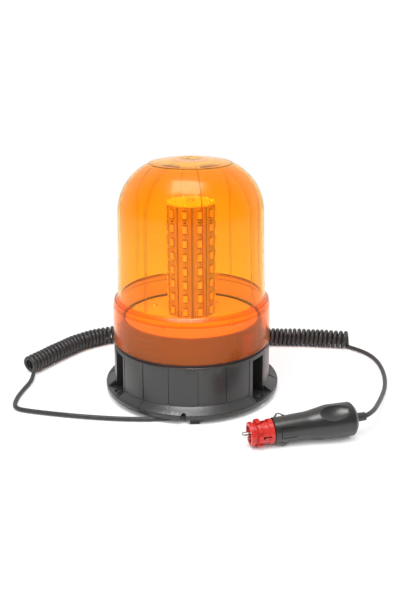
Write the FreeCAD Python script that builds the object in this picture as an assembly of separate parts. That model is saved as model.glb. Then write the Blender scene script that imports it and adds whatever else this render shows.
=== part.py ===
"""LED warning beacon: clear amber lens on a black base, with a coiled lead and a lighter plug.

All sizes are in millimetres. +Z is up and z = 0 is the surface the beacon stands on.
Places round the base are azimuths in degrees: 0 is the front (-Y), 90 is the right (+X).
"""
import FreeCAD, Part
import math
import os

Vector = FreeCAD.Vector
ORIGIN = Vector(0, 0, 0)
UP = Vector(0, 0, 1)

# ---------------------------------------------------------------- fits and clearances
part_gap = 0.3            # between pieces that come apart or move past each other
running_gap = 0.08        # round a piece that slides in a bore
screw_fit = 0.05          # radial, screw shank in its own hole

# ---------------------------------------------------------------- base housing
flange_radius = 80.0
flange_width = 8.2        # flange beyond the foot of the wall
ground_gap = 4.7          # flange rim above the standing surface
rim_height = 3.9
wall_foot_radius = flange_radius - flange_width
wall_foot_z = 13.2
wall_draft = 0.6          # how much the wall narrows from foot to shoulder
wall_top_radius = wall_foot_radius - wall_draft
shoulder_z = 48.4
shoulder_thickness = 2.8
shoulder_width = 8.2      # ledge the lens stands over, outside the neck
housing_wall = 2.6
neck_radius = wall_top_radius - shoulder_width
neck_top_z = 71.5
neck_wall = 2.6
deck_ledge = 2.0          # how far the ledge under the deck stands in from the neck bore
panel_count = 18          # panels round the wall and flange
panel_first_azimuth = 9.3
panel_groove = (0.9, 0.35)      # width, depth on the wall
flange_rib = (0.9, 0.5)         # width, height on the flange
arch_width = 5.2          # cable arch in the flange rim
arch_height = 5.4

# ---------------------------------------------------------------- bolt recesses
recess_azimuths = (60.0, 180.0, 300.0)
recess_half_angle = 7.0
recess_flange_half_angle = 9.4
recess_floor_z = 8.9
recess_top_z = 44.8
recess_depth = 9.4        # from the foot of the wall to the back of a recess
recess_back_radius = wall_foot_radius - recess_depth
recess_wall = 2.2
bolt_offset = 2.2         # bolt circle outside the foot of the wall
bolt_circle_radius = wall_foot_radius + bolt_offset
bolt_hole_radius = 2.75

# ---------------------------------------------------------------- bayonet
neck_ridge_levels = (57.0, 61.5, 66.0)
neck_ridge_height = 1.2
neck_ridge_depth = 1.2
neck_ridge_span = 31.0
neck_ridge_azimuths = (-31.5, 88.5, 208.5)
lug_azimuths = (-68.0, 52.0, 172.0)
lug_span = 9.0
lug_depth_gap = 0.3       # lug face to the neck ridges
tab_span = 5.0
tab_level = 62.6
tab_height = 3.0
bayonet_turn = 20.0

# ---------------------------------------------------------------- bottom closure
cover_thickness = 2.2
cover_boss_inset = 7.0    # boss middles inside the wall's top radius
cover_boss_circle = wall_top_radius - cover_boss_inset
cover_boss_radius = 4.0
cover_boss_azimuths = (30.0, 90.0, 150.0, 210.0, 270.0, 330.0)
cover_screw_radius = 1.6
cover_screw_length = 14.0
foot_azimuths = (7.0, 127.0, 247.0)
foot_size = (7.7, 5.2)    # across, radial
magnet_radius = 34.0
magnet_cup_wall = 2.0
magnet_bore = 8.0
magnet_pad_thickness = 1.5
magnet_bolt_radius = 2.5
entry_box = (16.0, 37.0, 52.0)   # width, inner and outer distance from the axis
entry_wall = 2.0
cord_entry_z = 4.9

# ---------------------------------------------------------------- deck and driver board
deck_thickness = 2.4
deck_bore = 7.0
deck_screw_circle = 44.0
deck_screw_azimuths = (-121.6, -31.6, 58.4, 148.4)
deck_screw_radius = 1.5
deck_screw_head = (3.0, 1.9)     # radius, height
deck_screw_length = 6.0
deck_arm_width = 8.0
deck_arm_depth = 10.0
board_radius = 50.0
board_thickness = 1.6
board_z = 30.0
standoff_circle = 40.0
standoff_azimuths = (45.0, 135.0, 225.0, 315.0)
capacitor_radius = 6.3
capacitor_height = 20.0
capacitor_crimp = 0.6     # roll pressed round the foot of a can

# ---------------------------------------------------------------- light tower
strip_count = 10
strip_first_azimuth = 26.0
tower_corner_radius = 21.3
strip_thickness = 1.2
strip_width = 11.4
strip_length = 101.2
tower_ring_height = 2.6
tower_core_wall = 2.0
top_board_thickness = 1.6
lamps_per_strip = 8
strip_end = 7.025         # strip beyond the middle of its last lamp
lamp_pitch = (strip_length - 2 * strip_end) / (lamps_per_strip - 1)
lamp_size = (4.0, 6.2, 1.5)      # across, tall, proud
lamp_terminal = 0.8
tower_rod_radius = 1.5
tower_rod_head = (3.2, 2.0)      # radius, height
tower_washer_size = (9.5, 1.0)   # radius, thickness
tower_nut_size = (6.4, 2.4)      # across flats, height
tower_rod_end = 2.2       # thread showing below the nut

# ---------------------------------------------------------------- lens
gasket_thickness = 2.2
gasket_width = 4.1
gasket_inset = 0.9        # gasket edge inside the housing wall
lens_wall = 2.4
skirt_overhang = 0.3      # lower edge of the lens beyond the housing wall
skirt_draft = 0.9
collar_draft = 1.2
collar_ledge = 3.2        # step from the collar in to the dome
dome_draft = 1.4
dome_taper = 1.1
skirt_foot_radius = wall_top_radius + skirt_overhang
skirt_top_radius = skirt_foot_radius - skirt_draft
skirt_top_z = 84.0
collar_top_radius = skirt_top_radius - collar_draft
collar_top_z = 88.6
dome_foot_radius = collar_top_radius - collar_ledge
dome_foot_z = 91.5
dome_mid_radius = dome_foot_radius - dome_draft
dome_mid_z = 128.0
shoulder_start_radius = dome_mid_radius - dome_taper
shoulder_start_z = 166.0
shoulder_arc_radius = 46.0
crown_radius = 36.0
crown_step = 0.9
crown_rise = 3.0
dimple_radius = 13.0
gate_radius = 2.0         # flat left by the moulding gate in the middle of the crown
dimple_depth = 1.3
lens_rib_count = 8
lens_rib_first_azimuth = 14.0
lens_rib = (0.7, 0.6)            # width, depth
lens_rib_start = 0.8      # ribs begin this far above the foot of the dome
lens_lift_travel = 135.0

# ---------------------------------------------------------------- cord
cord_radius = 2.0
coil_radius = 9.2
coil_axis_z = 9.3
base_lead_route = [
    (0.3, -54.1, 4.9), (0.0, -61.5, 3.4), (-7.4, -70.3, 2.2), (-23.3, -74.9, 2.1),
    (-51.3, -76.7, 2.1), (-83.1, -75.3, 2.1), (-110.9, -72.2, 2.1), (-136.6, -68.4, 2.1),
    (-151.5, -64.4, 2.1), (-155.1, -46.5, 2.1), (-154.3, -26.4, 2.1), (-152.1, -8.3, 2.3),
    (-155.2, 7.3, 5.2)]
coil_route = [
    (-160.0, 10.5, 9.3), (-145.5, 40.6, 9.3), (-121.0, 82.8, 9.3), (-80.5, 106.0, 9.3),
    (-28.7, 111.6, 9.3), (21.5, 106.0, 9.3), (69.8, 102.8, 9.3), (114.2, 105.5, 9.3),
    (154.8, 100.7, 9.3)]
plug_lead_route = [
    (154.2, 95.0, 4.6), (163.6, 90.5, 2.8), (173.5, 81.9, 2.1), (180.3, 66.1, 2.1),
    (183.2, 43.7, 2.1), (182.1, 17.2, 2.2), (177.4, -7.0, 3.8), (170.4, -32.0, 7.4),
    (163.8, -54.6, 11.6), (159.8, -70.5, 14.6), (154.38, -80.61, 16.01), (149.92, -81.98, 15.79)]

# ---------------------------------------------------------------- lighter plug, along its own axis
plug_tip_point = (49.79, -112.59, 10.74)
plug_heading = 17.0       # degrees from +X, tip to tail
plug_tilt = 2.76          # tail up, as it lies on its grip and its lugs
plug_roll = -30.0         # side contacts lean this far off the vertical
plug_frame_angle = 22.0   # moulded frame on the barrel, below the parting side
tip_radius = 2.4
tip_travel = 4.0
nose_radius = 6.0
nose_start = 10.4
adapter_start = 6.1
adapter_recess = 2.2      # hollow in the front of the red sleeve
adapter_end = 25.4
adapter_radius = 10.0
adapter_lug_radius = 11.3
adapter_travel = 24.0
barrel_start = 25.8
barrel_radius = 10.4
handle_radius = 14.3
plug_end = 95.3
shell_wall = 2.2
side_contact_travel = 1.2
relief_length = 9.5
relief_wall = 1.7


# ================================================================ helpers
def unit(vector):
    """Same direction, length one."""
    return vector * (1.0 / vector.Length)


def bent_edges(points, radii, closed):
    """Straight runs through the points, each corner rounded by a tangent arc of its radius."""
    corners = []
    count = len(points)
    for index, corner in enumerate(points):
        radius = radii[index]
        if radius <= 0 or (not closed and index in (0, count - 1)):
            corners.append((corner, None, corner))
            continue
        back = unit(points[index - 1] - corner)
        ahead = unit(points[(index + 1) % count] - corner)
        half_turn = (math.pi - back.getAngle(ahead)) / 2.0
        reach = radius * math.tan(half_turn)
        depth = radius / math.cos(half_turn) - radius
        middle = corner + unit(back + ahead) * depth
        corners.append((corner + back * reach, middle, corner + ahead * reach))
    edges = []
    last = count if closed else count - 1
    for index in range(count):
        start, middle, end = corners[index]
        if middle is not None:
            edges.append(Part.Arc(start, middle, end).toShape())
        if index < last:
            following = corners[(index + 1) % count][0]
            if (following - end).Length > 1e-6:
                edges.append(Part.LineSegment(end, following).toShape())
    return edges


def outline(points, radii=None):
    """Closed outline of (radius, height) points in the XZ plane."""
    corners = [Vector(across, 0, height) for across, height in points]
    rounding = [0.0] * len(corners)
    for index, radius in (radii or {}).items():
        rounding[index] = radius
    return Part.Wire(Part.__sortEdges__(bent_edges(corners, rounding, True)))


def turned(points, radii=None):
    """Solid of revolution about Z from (radius, height) points."""
    return Part.Face(outline(points, radii)).revolve(ORIGIN, UP, 360)


def disc(radius, bottom, top, bore=0.0):
    """Round plate between two heights, with an optional hole."""
    plate = Part.makeCylinder(radius, top - bottom, Vector(0, 0, bottom))
    if bore > 0:
        plate = plate.cut(Part.makeCylinder(bore, top - bottom + 2, Vector(0, 0, bottom - 1)))
    return plate


def around(shape, azimuth):
    """Copy of a shape drawn at the front, carried round to an azimuth."""
    copy = shape.copy()
    copy.rotate(ORIGIN, UP, azimuth)
    return copy


def radial_block(width, inner, outer, bottom, top):
    """Box at the front, its length along the radius."""
    return Part.makeBox(width, outer - inner, top - bottom, Vector(-width / 2.0, -outer, bottom))


def sector(half_angle, inner, outer, bottom, top):
    """Piece of a ring at the front, within +-half_angle."""
    ring = Part.makeCylinder(outer, top - bottom, Vector(0, 0, bottom), UP, 2 * half_angle)
    ring = ring.cut(Part.makeCylinder(inner, top - bottom + 2, Vector(0, 0, bottom - 1)))
    ring.rotate(ORIGIN, UP, -90 - half_angle)
    return ring


def pin(radius, bottom, top, across=0.0, along=0.0):
    """Vertical cylinder standing at (across, along)."""
    return Part.makeCylinder(radius, top - bottom, Vector(across, along, bottom))


def polygon_prism(sides, corner_radius, bottom, top, first_azimuth):
    """Upright prism, one flat centred on first_azimuth."""
    corners = []
    for index in range(sides + 1):
        angle = math.radians(first_azimuth - 90 + (index + 0.5) * 360.0 / sides)
        corners.append(Vector(corner_radius * math.cos(angle), corner_radius * math.sin(angle), bottom))
    return Part.Face(Part.makePolygon(corners)).extrude(Vector(0, 0, top - bottom))


def fused(shapes):
    """One solid from overlapping solids."""
    return shapes[0].multiFuse(shapes[1:]).removeSplitter()


def tube(route, radius, share=0.45):
    """Round bar along a route; each corner takes the widest arc its shorter run allows."""
    points = [Vector(*point) for point in route]
    radii = [0.0] * len(points)
    for index in range(1, len(points) - 1):
        back = points[index - 1] - points[index]
        ahead = points[index + 1] - points[index]
        half_turn = (math.pi - back.getAngle(ahead)) / 2.0
        radii[index] = share * min(back.Length, ahead.Length) / math.tan(half_turn)
    path = Part.Wire(bent_edges(points, radii, False))
    start = unit(points[1] - points[0])
    section = Part.Wire(Part.makeCircle(radius, points[0], start))
    bar = path.makePipeShell([section], True, False)
    return bar, path.Length, radii[1:-1]


def save(name, shape):
    """Write one node."""
    solids = shape.Solids
    if not solids or not shape.isValid():
        raise RuntimeError(name + " is not a sound solid")
    body = solids[0] if len(solids) == 1 else Part.makeCompound(solids)
    body.exportStep("parts/" + name + ".step")
    print("%-22s %2d solid(s) %10.1f mm3" % (name, len(solids), body.Volume))


# ================================================================ base housing and closure
cover_bottom_z = recess_floor_z
cover_top_z = cover_bottom_z + cover_thickness
bore_radius = wall_top_radius - housing_wall
cover_radius = bore_radius - part_gap
neck_bore = neck_radius - neck_wall
ledge_radius = neck_bore - deck_ledge
deck_top_z = neck_top_z - 1.5
deck_bottom_z = deck_top_z - deck_thickness
rim_top_z = ground_gap + rim_height


def housing_shell():
    """Wall, sloping flange, shoulder and neck in one turned piece."""
    return turned([
        (flange_radius, ground_gap), (flange_radius, rim_top_z),
        (wall_foot_radius, wall_foot_z), (wall_top_radius, shoulder_z),
        (neck_radius, shoulder_z), (neck_radius, neck_top_z),
        (neck_bore, neck_top_z), (neck_bore, deck_bottom_z),
        (ledge_radius, deck_bottom_z), (ledge_radius, shoulder_z - shoulder_thickness),
        (bore_radius, shoulder_z - shoulder_thickness), (bore_radius, cover_bottom_z),
        (wall_foot_radius, cover_bottom_z), (flange_radius - 2.4, rim_top_z - 2.4),
        (flange_radius - 2.4, ground_gap)],
        {1: 0.8, 2: 1.0, 3: 1.0, 5: 0.6})


def flange_ribs_and_grooves(shell):
    """Fine ribs down the flange and grooves up the wall, one pair at each panel edge."""
    slope = Part.makePolygon([
        Vector(0, -wall_foot_radius + 0.6, wall_foot_z - 0.8),
        Vector(0, -wall_foot_radius - flange_rib[1] * 0.5, wall_foot_z + flange_rib[1]),
        Vector(0, -flange_radius + 0.5, rim_top_z + flange_rib[1]),
        Vector(0, -flange_radius + 0.5, rim_top_z - 0.8),
        Vector(0, -wall_foot_radius + 0.6, wall_foot_z - 0.8)])
    rib = Part.Face(slope).extrude(Vector(flange_rib[0], 0, 0))
    rib.translate(Vector(-flange_rib[0] / 2.0, 0, 0))
    groove = radial_block(panel_groove[0], wall_top_radius - panel_groove[1],
                          wall_foot_radius + 1, wall_foot_z + 1.2, shoulder_z - 1.6)
    ribs = []
    grooves = []
    for index in range(panel_count):
        azimuth = panel_first_azimuth + index * 360.0 / panel_count
        ribs.append(around(rib, azimuth))
        grooves.append(around(groove, azimuth))
    return shell.multiFuse(ribs).cut(Part.makeCompound(grooves))


def recess_blocks():
    """Pocket walls that stand inside the housing behind each bolt recess."""
    block = sector(recess_half_angle + 2.0, recess_back_radius - recess_wall, wall_foot_radius - 1.0,
                   recess_floor_z - recess_wall, recess_top_z + recess_wall)
    floor = sector(recess_flange_half_angle + 0.4, wall_foot_radius - 3.0, flange_radius - 0.8,
                   recess_floor_z - recess_wall, recess_floor_z)
    return [around(block.fuse(floor), azimuth) for azimuth in recess_azimuths]


def recess_cuts():
    """The window in the wall, the flat cut through the flange and the bolt hole."""
    window = sector(recess_half_angle, recess_back_radius, wall_foot_radius + 2.0,
                    recess_floor_z, recess_top_z)
    flange_cut = sector(recess_flange_half_angle, wall_foot_radius + 0.1, flange_radius + 2.0,
                        recess_floor_z, wall_foot_z + 3.0)
    hole = pin(bolt_hole_radius, 0.0, recess_floor_z + 1.0, 0.0, -bolt_circle_radius)
    return [around(tool, azimuth) for azimuth in recess_azimuths for tool in (window, flange_cut, hole)]


def deck_arms():
    """Four brackets inside the neck that take the deck screws."""
    end = deck_screw_circle - deck_arm_width / 2.0
    side = Part.makePolygon([
        Vector(0, -ledge_radius - 1, deck_bottom_z), Vector(0, -end, deck_bottom_z),
        Vector(0, -end, deck_bottom_z - 5.0),
        Vector(0, -ledge_radius - 1, deck_bottom_z - deck_arm_depth - 6.0),
        Vector(0, -ledge_radius - 1, deck_bottom_z)])
    arm = Part.Face(side).extrude(Vector(deck_arm_width, 0, 0))
    arm.translate(Vector(-deck_arm_width / 2.0, 0, 0))
    return [around(arm, azimuth) for azimuth in deck_screw_azimuths]


def neck_ridges():
    """Three rows of short ridges round the neck, in three sets."""
    ridges = []
    for level in neck_ridge_levels:
        ridge = sector(neck_ridge_span / 2.0, neck_radius - 0.5, neck_radius + neck_ridge_depth,
                       level, level + neck_ridge_height)
        ridges += [around(ridge, azimuth) for azimuth in neck_ridge_azimuths]
    hook = sector(tab_span * 1.6, neck_radius - 0.5, neck_radius + neck_ridge_depth,
                  tab_level + tab_height + part_gap, tab_level + tab_height + part_gap + 1.6)
    for azimuth in lug_azimuths:
        ridges.append(around(hook, azimuth - (lug_span - tab_span) / 2.0))
    return ridges


def base_housing():
    """Black moulded base with all its bosses, recesses and ridges."""
    shell = flange_ribs_and_grooves(housing_shell())
    boss = pin(cover_boss_radius, cover_top_z, shoulder_z - 1.0, 0.0, -cover_boss_circle)
    boss_web = radial_block(2.0, cover_boss_circle, bore_radius + 1.0, cover_top_z, shoulder_z - 1.0)
    foot_boss = radial_block(foot_size[0], wall_foot_radius - 0.4, flange_radius - 2.0,
                             ground_gap, cover_bottom_z + 0.4)
    extras = recess_blocks() + deck_arms() + neck_ridges()
    extras += [around(boss.fuse(boss_web), azimuth) for azimuth in cover_boss_azimuths]
    extras += [around(foot_boss, azimuth) for azimuth in foot_azimuths]
    body = shell.multiFuse(extras)
    for cut in recess_cuts():
        body = body.cut(cut)
    cuts = []
    hole = pin(cover_screw_radius + screw_fit, 0.0, cover_top_z + cover_screw_length + 1.0,
               0.0, -cover_boss_circle)
    cuts += [around(hole, azimuth) for azimuth in cover_boss_azimuths]
    deck_hole = pin(deck_screw_radius + screw_fit, deck_bottom_z - 4.0, deck_bottom_z + 1.0,
                    0.0, -deck_screw_circle)
    cuts += [around(deck_hole, azimuth) for azimuth in deck_screw_azimuths]
    arch = radial_block(arch_width, wall_foot_radius - 1.0, flange_radius + 1.0,
                        ground_gap - 1.0, ground_gap + arch_height - arch_width / 2.0)
    arch_top = Part.makeCylinder(arch_width / 2.0, flange_radius - wall_foot_radius + 2.0,
                                 Vector(0, -flange_radius - 1.0, ground_gap + arch_height - arch_width / 2.0),
                                 Vector(0, 1, 0))
    cuts += [arch, arch_top]
    return body.cut(Part.makeCompound(cuts)).removeSplitter()


def bottom_cover():
    """Round plate that closes the base, with the boxed cord entry."""
    plate = disc(cover_radius, cover_bottom_z, cover_top_z)
    width, inner, outer = entry_box
    plate = plate.fuse(radial_block(width, inner, outer, 1.2, cover_top_z))
    cuts = [radial_block(width - 2 * entry_wall, inner + entry_wall, outer - entry_wall,
                         1.2 + entry_wall * 0.7, cover_top_z + 1.0)]
    cuts.append(Part.makeCylinder(grommet_radius + grommet_fit, entry_wall + 2.0,
                                  Vector(0, -outer - 1.0, cord_entry_z), Vector(0, 1, 0)))
    cuts.append(Part.makeCylinder(grommet_lip[0] + grommet_fit, grommet_lip[1] + part_gap,
                                  Vector(0, -outer + entry_wall, cord_entry_z), Vector(0, 1, 0)))
    notch = sector(recess_half_angle + 2.3, recess_back_radius - recess_wall - part_gap,
                   cover_radius + 1.0, cover_bottom_z - 1.0, cover_top_z + 1.0)
    cuts += [around(notch, azimuth) for azimuth in recess_azimuths]
    hole = pin(cover_screw_radius + 0.25, cover_bottom_z - 1.0, cover_top_z + 1.0, 0.0, -cover_boss_circle)
    cuts += [around(hole, azimuth) for azimuth in cover_boss_azimuths]
    cuts.append(pin(magnet_bolt_radius + 0.25, cover_bottom_z - 1.0, cover_top_z + 1.0))
    stand_hole = pin(1.7, cover_bottom_z - 1.0, cover_top_z + 1.0, 0.0, -standoff_circle)
    cuts += [around(stand_hole, azimuth) for azimuth in standoff_azimuths]
    return plate.cut(Part.makeCompound(cuts))


def pan_screw(shank, head, head_height, length, cross=True):
    """Pan-head screw standing head up, head seated on z = 0, shank below."""
    body = turned([(0, -length), (shank * 0.6, -length), (shank, -length + shank),
                   (shank, 0), (head, 0), (head, head_height * 0.45),
                   (head * 0.55, head_height), (0, head_height)], {5: head_height * 0.4})
    if cross:
        slot = Part.makeBox(head * 1.1, 0.7, head_height, Vector(-head * 0.55, -0.35, head_height * 0.45))
        body = body.cut(slot).cut(turned_about_z(slot, 90))
    return body


def turned_about_z(shape, angle):
    """Copy turned in place about the Z axis."""
    copy = shape.copy()
    copy.rotate(ORIGIN, UP, angle)
    return copy


def placed(shape, across, along, height, upside_down=False):
    """Copy moved to a place, turned over first if asked."""
    copy = shape.copy()
    if upside_down:
        copy.rotate(ORIGIN, Vector(1, 0, 0), 180)
    copy.translate(Vector(across, along, height))
    return copy


def ring_of(shape, azimuths):
    """The same piece at every azimuth, kept as separate solids."""
    return Part.makeCompound([around(shape, azimuth) for azimuth in azimuths])


def hex_nut(flats, bore, bottom, top):
    """Hexagon nut on the axis."""
    return polygon_prism(6, flats / math.sqrt(3.0), bottom, top, 0.0).cut(pin(bore, bottom - 1, top + 1))


grommet_radius = 3.0
grommet_fit = 0.15        # bush in its hole
grommet_flange = 3.7
grommet_lip = (3.3, 1.2)  # radius and thickness of the lip inside the box


def cable_grommet():
    """Flanged rubber bush in the outer wall of the entry box, bored for the cord."""
    wall_outside = entry_box[2]
    profile = [(cord_radius + 0.02, -1.6), (grommet_flange, -1.6), (grommet_flange, 0.0),
               (grommet_radius, 0.0), (grommet_radius, entry_wall), (grommet_lip[0], entry_wall),
               (grommet_lip[0] - 0.3, entry_wall + grommet_lip[1]), (cord_radius + 0.02, entry_wall + grommet_lip[1])]
    bush = turned(profile)
    bush.rotate(ORIGIN, Vector(1, 0, 0), -90)
    bush.translate(Vector(0, -wall_outside, cord_entry_z))
    return bush


def magnet_parts():
    """Steel cup, ring magnet, rubber pad and the bolt and nut that hold them to the cover."""
    cup_top = cover_bottom_z
    cup_plate = 1.6
    cup = disc(magnet_radius, magnet_pad_thickness, cup_top)
    cup = cup.cut(pin(magnet_radius - magnet_cup_wall, 0.0, cup_top - cup_plate))
    cup = cup.cut(pin(magnet_bolt_radius + 0.25, 0.0, cup_top + 1.0))
    ring = disc(magnet_radius - magnet_cup_wall - screw_fit, magnet_pad_thickness, cup_top - cup_plate, magnet_bore)
    pad = turned([(magnet_bore, 0.0), (magnet_radius, 0.0), (magnet_radius, magnet_pad_thickness),
                  (magnet_bore, magnet_pad_thickness)], {1: 0.7})
    bolt = placed(pan_screw(magnet_bolt_radius, 4.6, 3.0, 14.0), 0, 0, cup_top - cup_plate, True)
    nut = hex_nut(8.0, magnet_bolt_radius + screw_fit, cover_top_z, cover_top_z + 4.0)
    return cup, ring, pad, bolt, nut


# ================================================================ driver board
def driver_parts():
    """Round circuit board on four pillars, with its larger components."""
    top = board_z + board_thickness
    holes = ring_of(pin(1.7, board_z - 1, top + 1, 0.0, -standoff_circle), standoff_azimuths)
    board = disc(board_radius, board_z, top).cut(holes)
    pillar = around(polygon_prism(6, 3.6, cover_top_z, board_z, 0.0), 0)
    pillar.translate(Vector(0, -standoff_circle, 0))
    pillar = pillar.cut(pin(1.25 + screw_fit, cover_top_z - 1, board_z + 1, 0.0, -standoff_circle))
    screw = placed(pan_screw(1.25, 2.6, 1.7, 8.0), 0.0, -standoff_circle, top)
    under_screw = placed(pan_screw(1.25, 2.6, 1.7, 8.0), 0.0, -standoff_circle, cover_bottom_z, True)
    save("driver_board", board)
    save("board_pillars", ring_of(pillar, standoff_azimuths))
    save("board_screws", Part.makeCompound([ring_of(screw, standoff_azimuths),
                                            ring_of(under_screw, standoff_azimuths)]))
    bead = capacitor_radius * 0.35
    can = turned([(0, 0), (capacitor_radius, 0), (capacitor_radius, bead),
                  (capacitor_radius - capacitor_crimp / 2.0, bead + capacitor_crimp),
                  (capacitor_radius, bead + 2 * capacitor_crimp), (capacitor_radius, capacitor_height),
                  (capacitor_radius * 0.76, capacitor_height), (capacitor_radius * 0.73, capacitor_height * 0.98),
                  (0, capacitor_height * 0.98)], {5: 0.7})
    save("capacitors", Part.makeCompound([placed(can, 18.0, -24.0, top), placed(can, 32.0, -12.0, top)]))
    core = Part.makeTorus(8.0, 3.6)
    core.translate(Vector(-24.0, -8.0, top + 3.6))
    save("choke_coil", core)
    chip = Part.makeBox(10.0, 7.0, 1.6, Vector(6.0, 8.0, top + 0.4))
    legs = []
    for index in range(5):
        for side in (7.2, 14.6):
            legs.append(Part.makeBox(0.6, 1.2, 1.0, Vector(7.0 + index * 1.9, side, top)))
    save("controller_chip", fused([chip] + legs))
    fins = [Part.makeBox(24.0, 3.0, 3.0, Vector(-25.0, 16.0, top))]
    for index in range(6):
        fins.append(Part.makeBox(1.2, 12.0, 16.0, Vector(-25.0 + index * 4.56, 16.0, top)))
    fins.append(Part.makeBox(24.0, 1.6, 16.0, Vector(-25.0, 21.2, top)))
    save("heat_sink", fused(fins))
    regulator = Part.makeBox(10.0, 4.4, 9.0, Vector(-19.0, 11.6, top + 3.0))
    regulator = regulator.fuse(Part.makeBox(10.0, 1.2, 15.0, Vector(-19.0, 14.8, top + 1.0)))
    for index in range(3):
        regulator = regulator.fuse(Part.makeBox(0.8, 0.8, 3.5, Vector(-16.9 + index * 2.54, 13.4, top)))
    save("power_regulator", regulator)
    block = Part.makeBox(12.0, 9.0, 10.0, Vector(-6.0, -41.0, top))
    for across in (-3.0, 3.0):
        block = block.cut(pin(1.9, top + 5.5, top + 11.0, across, -36.5))
        block = block.cut(Part.makeBox(3.2, 4.0, 3.2, Vector(across - 1.6, -42.0, top + 1.5)))
    save("terminal_block", block)
    clamp_screw = turned([(0, 0), (1.8, 0), (1.8, 1.6), (0, 1.6)])
    clamp_screw = clamp_screw.cut(Part.makeBox(4.0, 0.5, 1.0, Vector(-2.0, -0.25, 1.0)))
    save("terminal_screws", Part.makeCompound([placed(clamp_screw, -3.0, -36.5, top + 5.5),
                                               placed(clamp_screw, 3.0, -36.5, top + 5.5)]))
    wires = []
    for across in (-3.0, 3.0):
        share = across / 3.0
        route = [(share * 0.9, -49.6, cord_entry_z), (share * 0.9, -44.5, cord_entry_z + 0.2),
                 (share * 1.6, -43.6, 16.0), (across, -55.0, 28.0), (across, -53.5, top + 2.4),
                 (across, -41.4, top + 3.1)]
        wires.append(tube(route, 0.8)[0])
    save("supply_wires", Part.makeCompound(wires))


# ================================================================ deck and light tower
tower_ring_top = deck_top_z + tower_ring_height
strip_outer = tower_corner_radius * math.cos(math.pi / strip_count)
strip_inner = strip_outer - strip_thickness
tower_top_z = tower_ring_top + strip_length
strip_azimuths = [strip_first_azimuth + index * 360.0 / strip_count for index in range(strip_count)]


def deck_parts():
    """Pale round deck over the driver board, its screws, and the ring the tower stands in."""
    holes = ring_of(pin(deck_screw_radius + 0.2, deck_bottom_z - 1, deck_top_z + 1, 0.0, -deck_screw_circle),
                    deck_screw_azimuths)
    deck = disc(neck_bore - part_gap, deck_bottom_z, deck_top_z, deck_bore).cut(holes)
    save("deck_plate", deck)
    screw = placed(pan_screw(deck_screw_radius, deck_screw_head[0], deck_screw_head[1], deck_screw_length),
                   0.0, -deck_screw_circle, deck_top_z)
    save("deck_screws", ring_of(screw, deck_screw_azimuths))
    rim = polygon_prism(strip_count, tower_corner_radius + 2.6, deck_top_z, tower_ring_top, strip_first_azimuth)
    rim = rim.cut(pin(12.0, deck_top_z - 1, tower_ring_top + 1))
    lip = polygon_prism(strip_count, tower_corner_radius + 2.6, tower_ring_top, tower_ring_top + 0.9,
                        strip_first_azimuth)
    seat_radius = (strip_outer + screw_fit) / math.cos(math.pi / strip_count)
    lip = lip.cut(polygon_prism(strip_count, seat_radius, tower_ring_top - 1, tower_ring_top + 2,
                                strip_first_azimuth))
    save("tower_foot_ring", rim.fuse(lip))


def tower_parts():
    """Ten light strips round a former, capped by a board and held by one long screw."""
    former_radius = (strip_inner - screw_fit) / math.cos(math.pi / strip_count)
    bore_corner = (strip_inner - tower_core_wall) / math.cos(math.pi / strip_count)
    former = polygon_prism(strip_count, former_radius, tower_ring_top, tower_top_z, strip_first_azimuth)
    former = former.cut(polygon_prism(strip_count, bore_corner, tower_ring_top + 2.5, tower_top_z + 1,
                                      strip_first_azimuth))
    former = former.cut(pin(tower_rod_radius + 0.2, tower_ring_top - 1, tower_ring_top + 4))
    former = former.cut(ring_of(pin(1.8, tower_ring_top - 1, tower_ring_top + 4, 0.0, -6.0), (0.0, 180.0)))
    save("tower_former", former)
    strip = radial_block(strip_width, strip_inner, strip_outer, tower_ring_top, tower_top_z)
    first_lamp_z = tower_ring_top + (strip_length - (lamps_per_strip - 1) * lamp_pitch) / 2.0
    across, tall, proud = lamp_size
    lamps = []
    for index in range(lamps_per_strip):
        middle = first_lamp_z + index * lamp_pitch
        case = radial_block(across, strip_outer, strip_outer + proud, middle - tall / 2.0, middle + tall / 2.0)
        end = radial_block(across - 0.6, strip_outer, strip_outer + proud * 0.4,
                           middle - tall / 2.0 - lamp_terminal, middle + tall / 2.0 + lamp_terminal)
        lamps.append(case.fuse(end))
    for number, azimuth in enumerate(strip_azimuths):
        save("light_strip_%02d" % (number + 1), around(strip, azimuth))
    save("lamps", Part.makeCompound([around(lamp, azimuth) for azimuth in strip_azimuths for lamp in lamps]))
    cap = polygon_prism(strip_count, tower_corner_radius + 0.5, tower_top_z,
                        tower_top_z + top_board_thickness, strip_first_azimuth)
    cap = cap.cut(pin(tower_rod_radius + 0.2, tower_top_z - 1, tower_top_z + 3))
    save("tower_top_board", cap)
    joint = turned([(0, 0), (1.5, 0), (0.7, 1.0), (0.45, 1.9), (0, 1.9)])
    joint = placed(joint, 0.0, -strip_outer + 1.8, tower_top_z + top_board_thickness)
    save("top_solder_joints", ring_of(joint, strip_azimuths))
    washer_bottom = deck_bottom_z - tower_washer_size[1]
    nut_bottom = washer_bottom - tower_nut_size[1]
    rod_top = tower_top_z + top_board_thickness
    head = placed(pan_screw(tower_rod_radius, tower_rod_head[0], tower_rod_head[1],
                            rod_top - nut_bottom + tower_rod_end), 0, 0, rod_top)
    save("tower_screw", head)
    nut = hex_nut(tower_nut_size[0], tower_rod_radius + screw_fit, nut_bottom, washer_bottom)
    washer = disc(tower_washer_size[0], washer_bottom, deck_bottom_z, tower_rod_radius + 0.2)
    save("tower_nut", nut)
    save("tower_washer", washer)


# ================================================================ lens
lens_foot_z = shoulder_z + gasket_thickness
arc_centre = shoulder_start_radius - shoulder_arc_radius
crown_angle = math.acos((crown_radius - arc_centre) / shoulder_arc_radius)
crown_z = shoulder_start_z + shoulder_arc_radius * math.sin(crown_angle)


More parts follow.
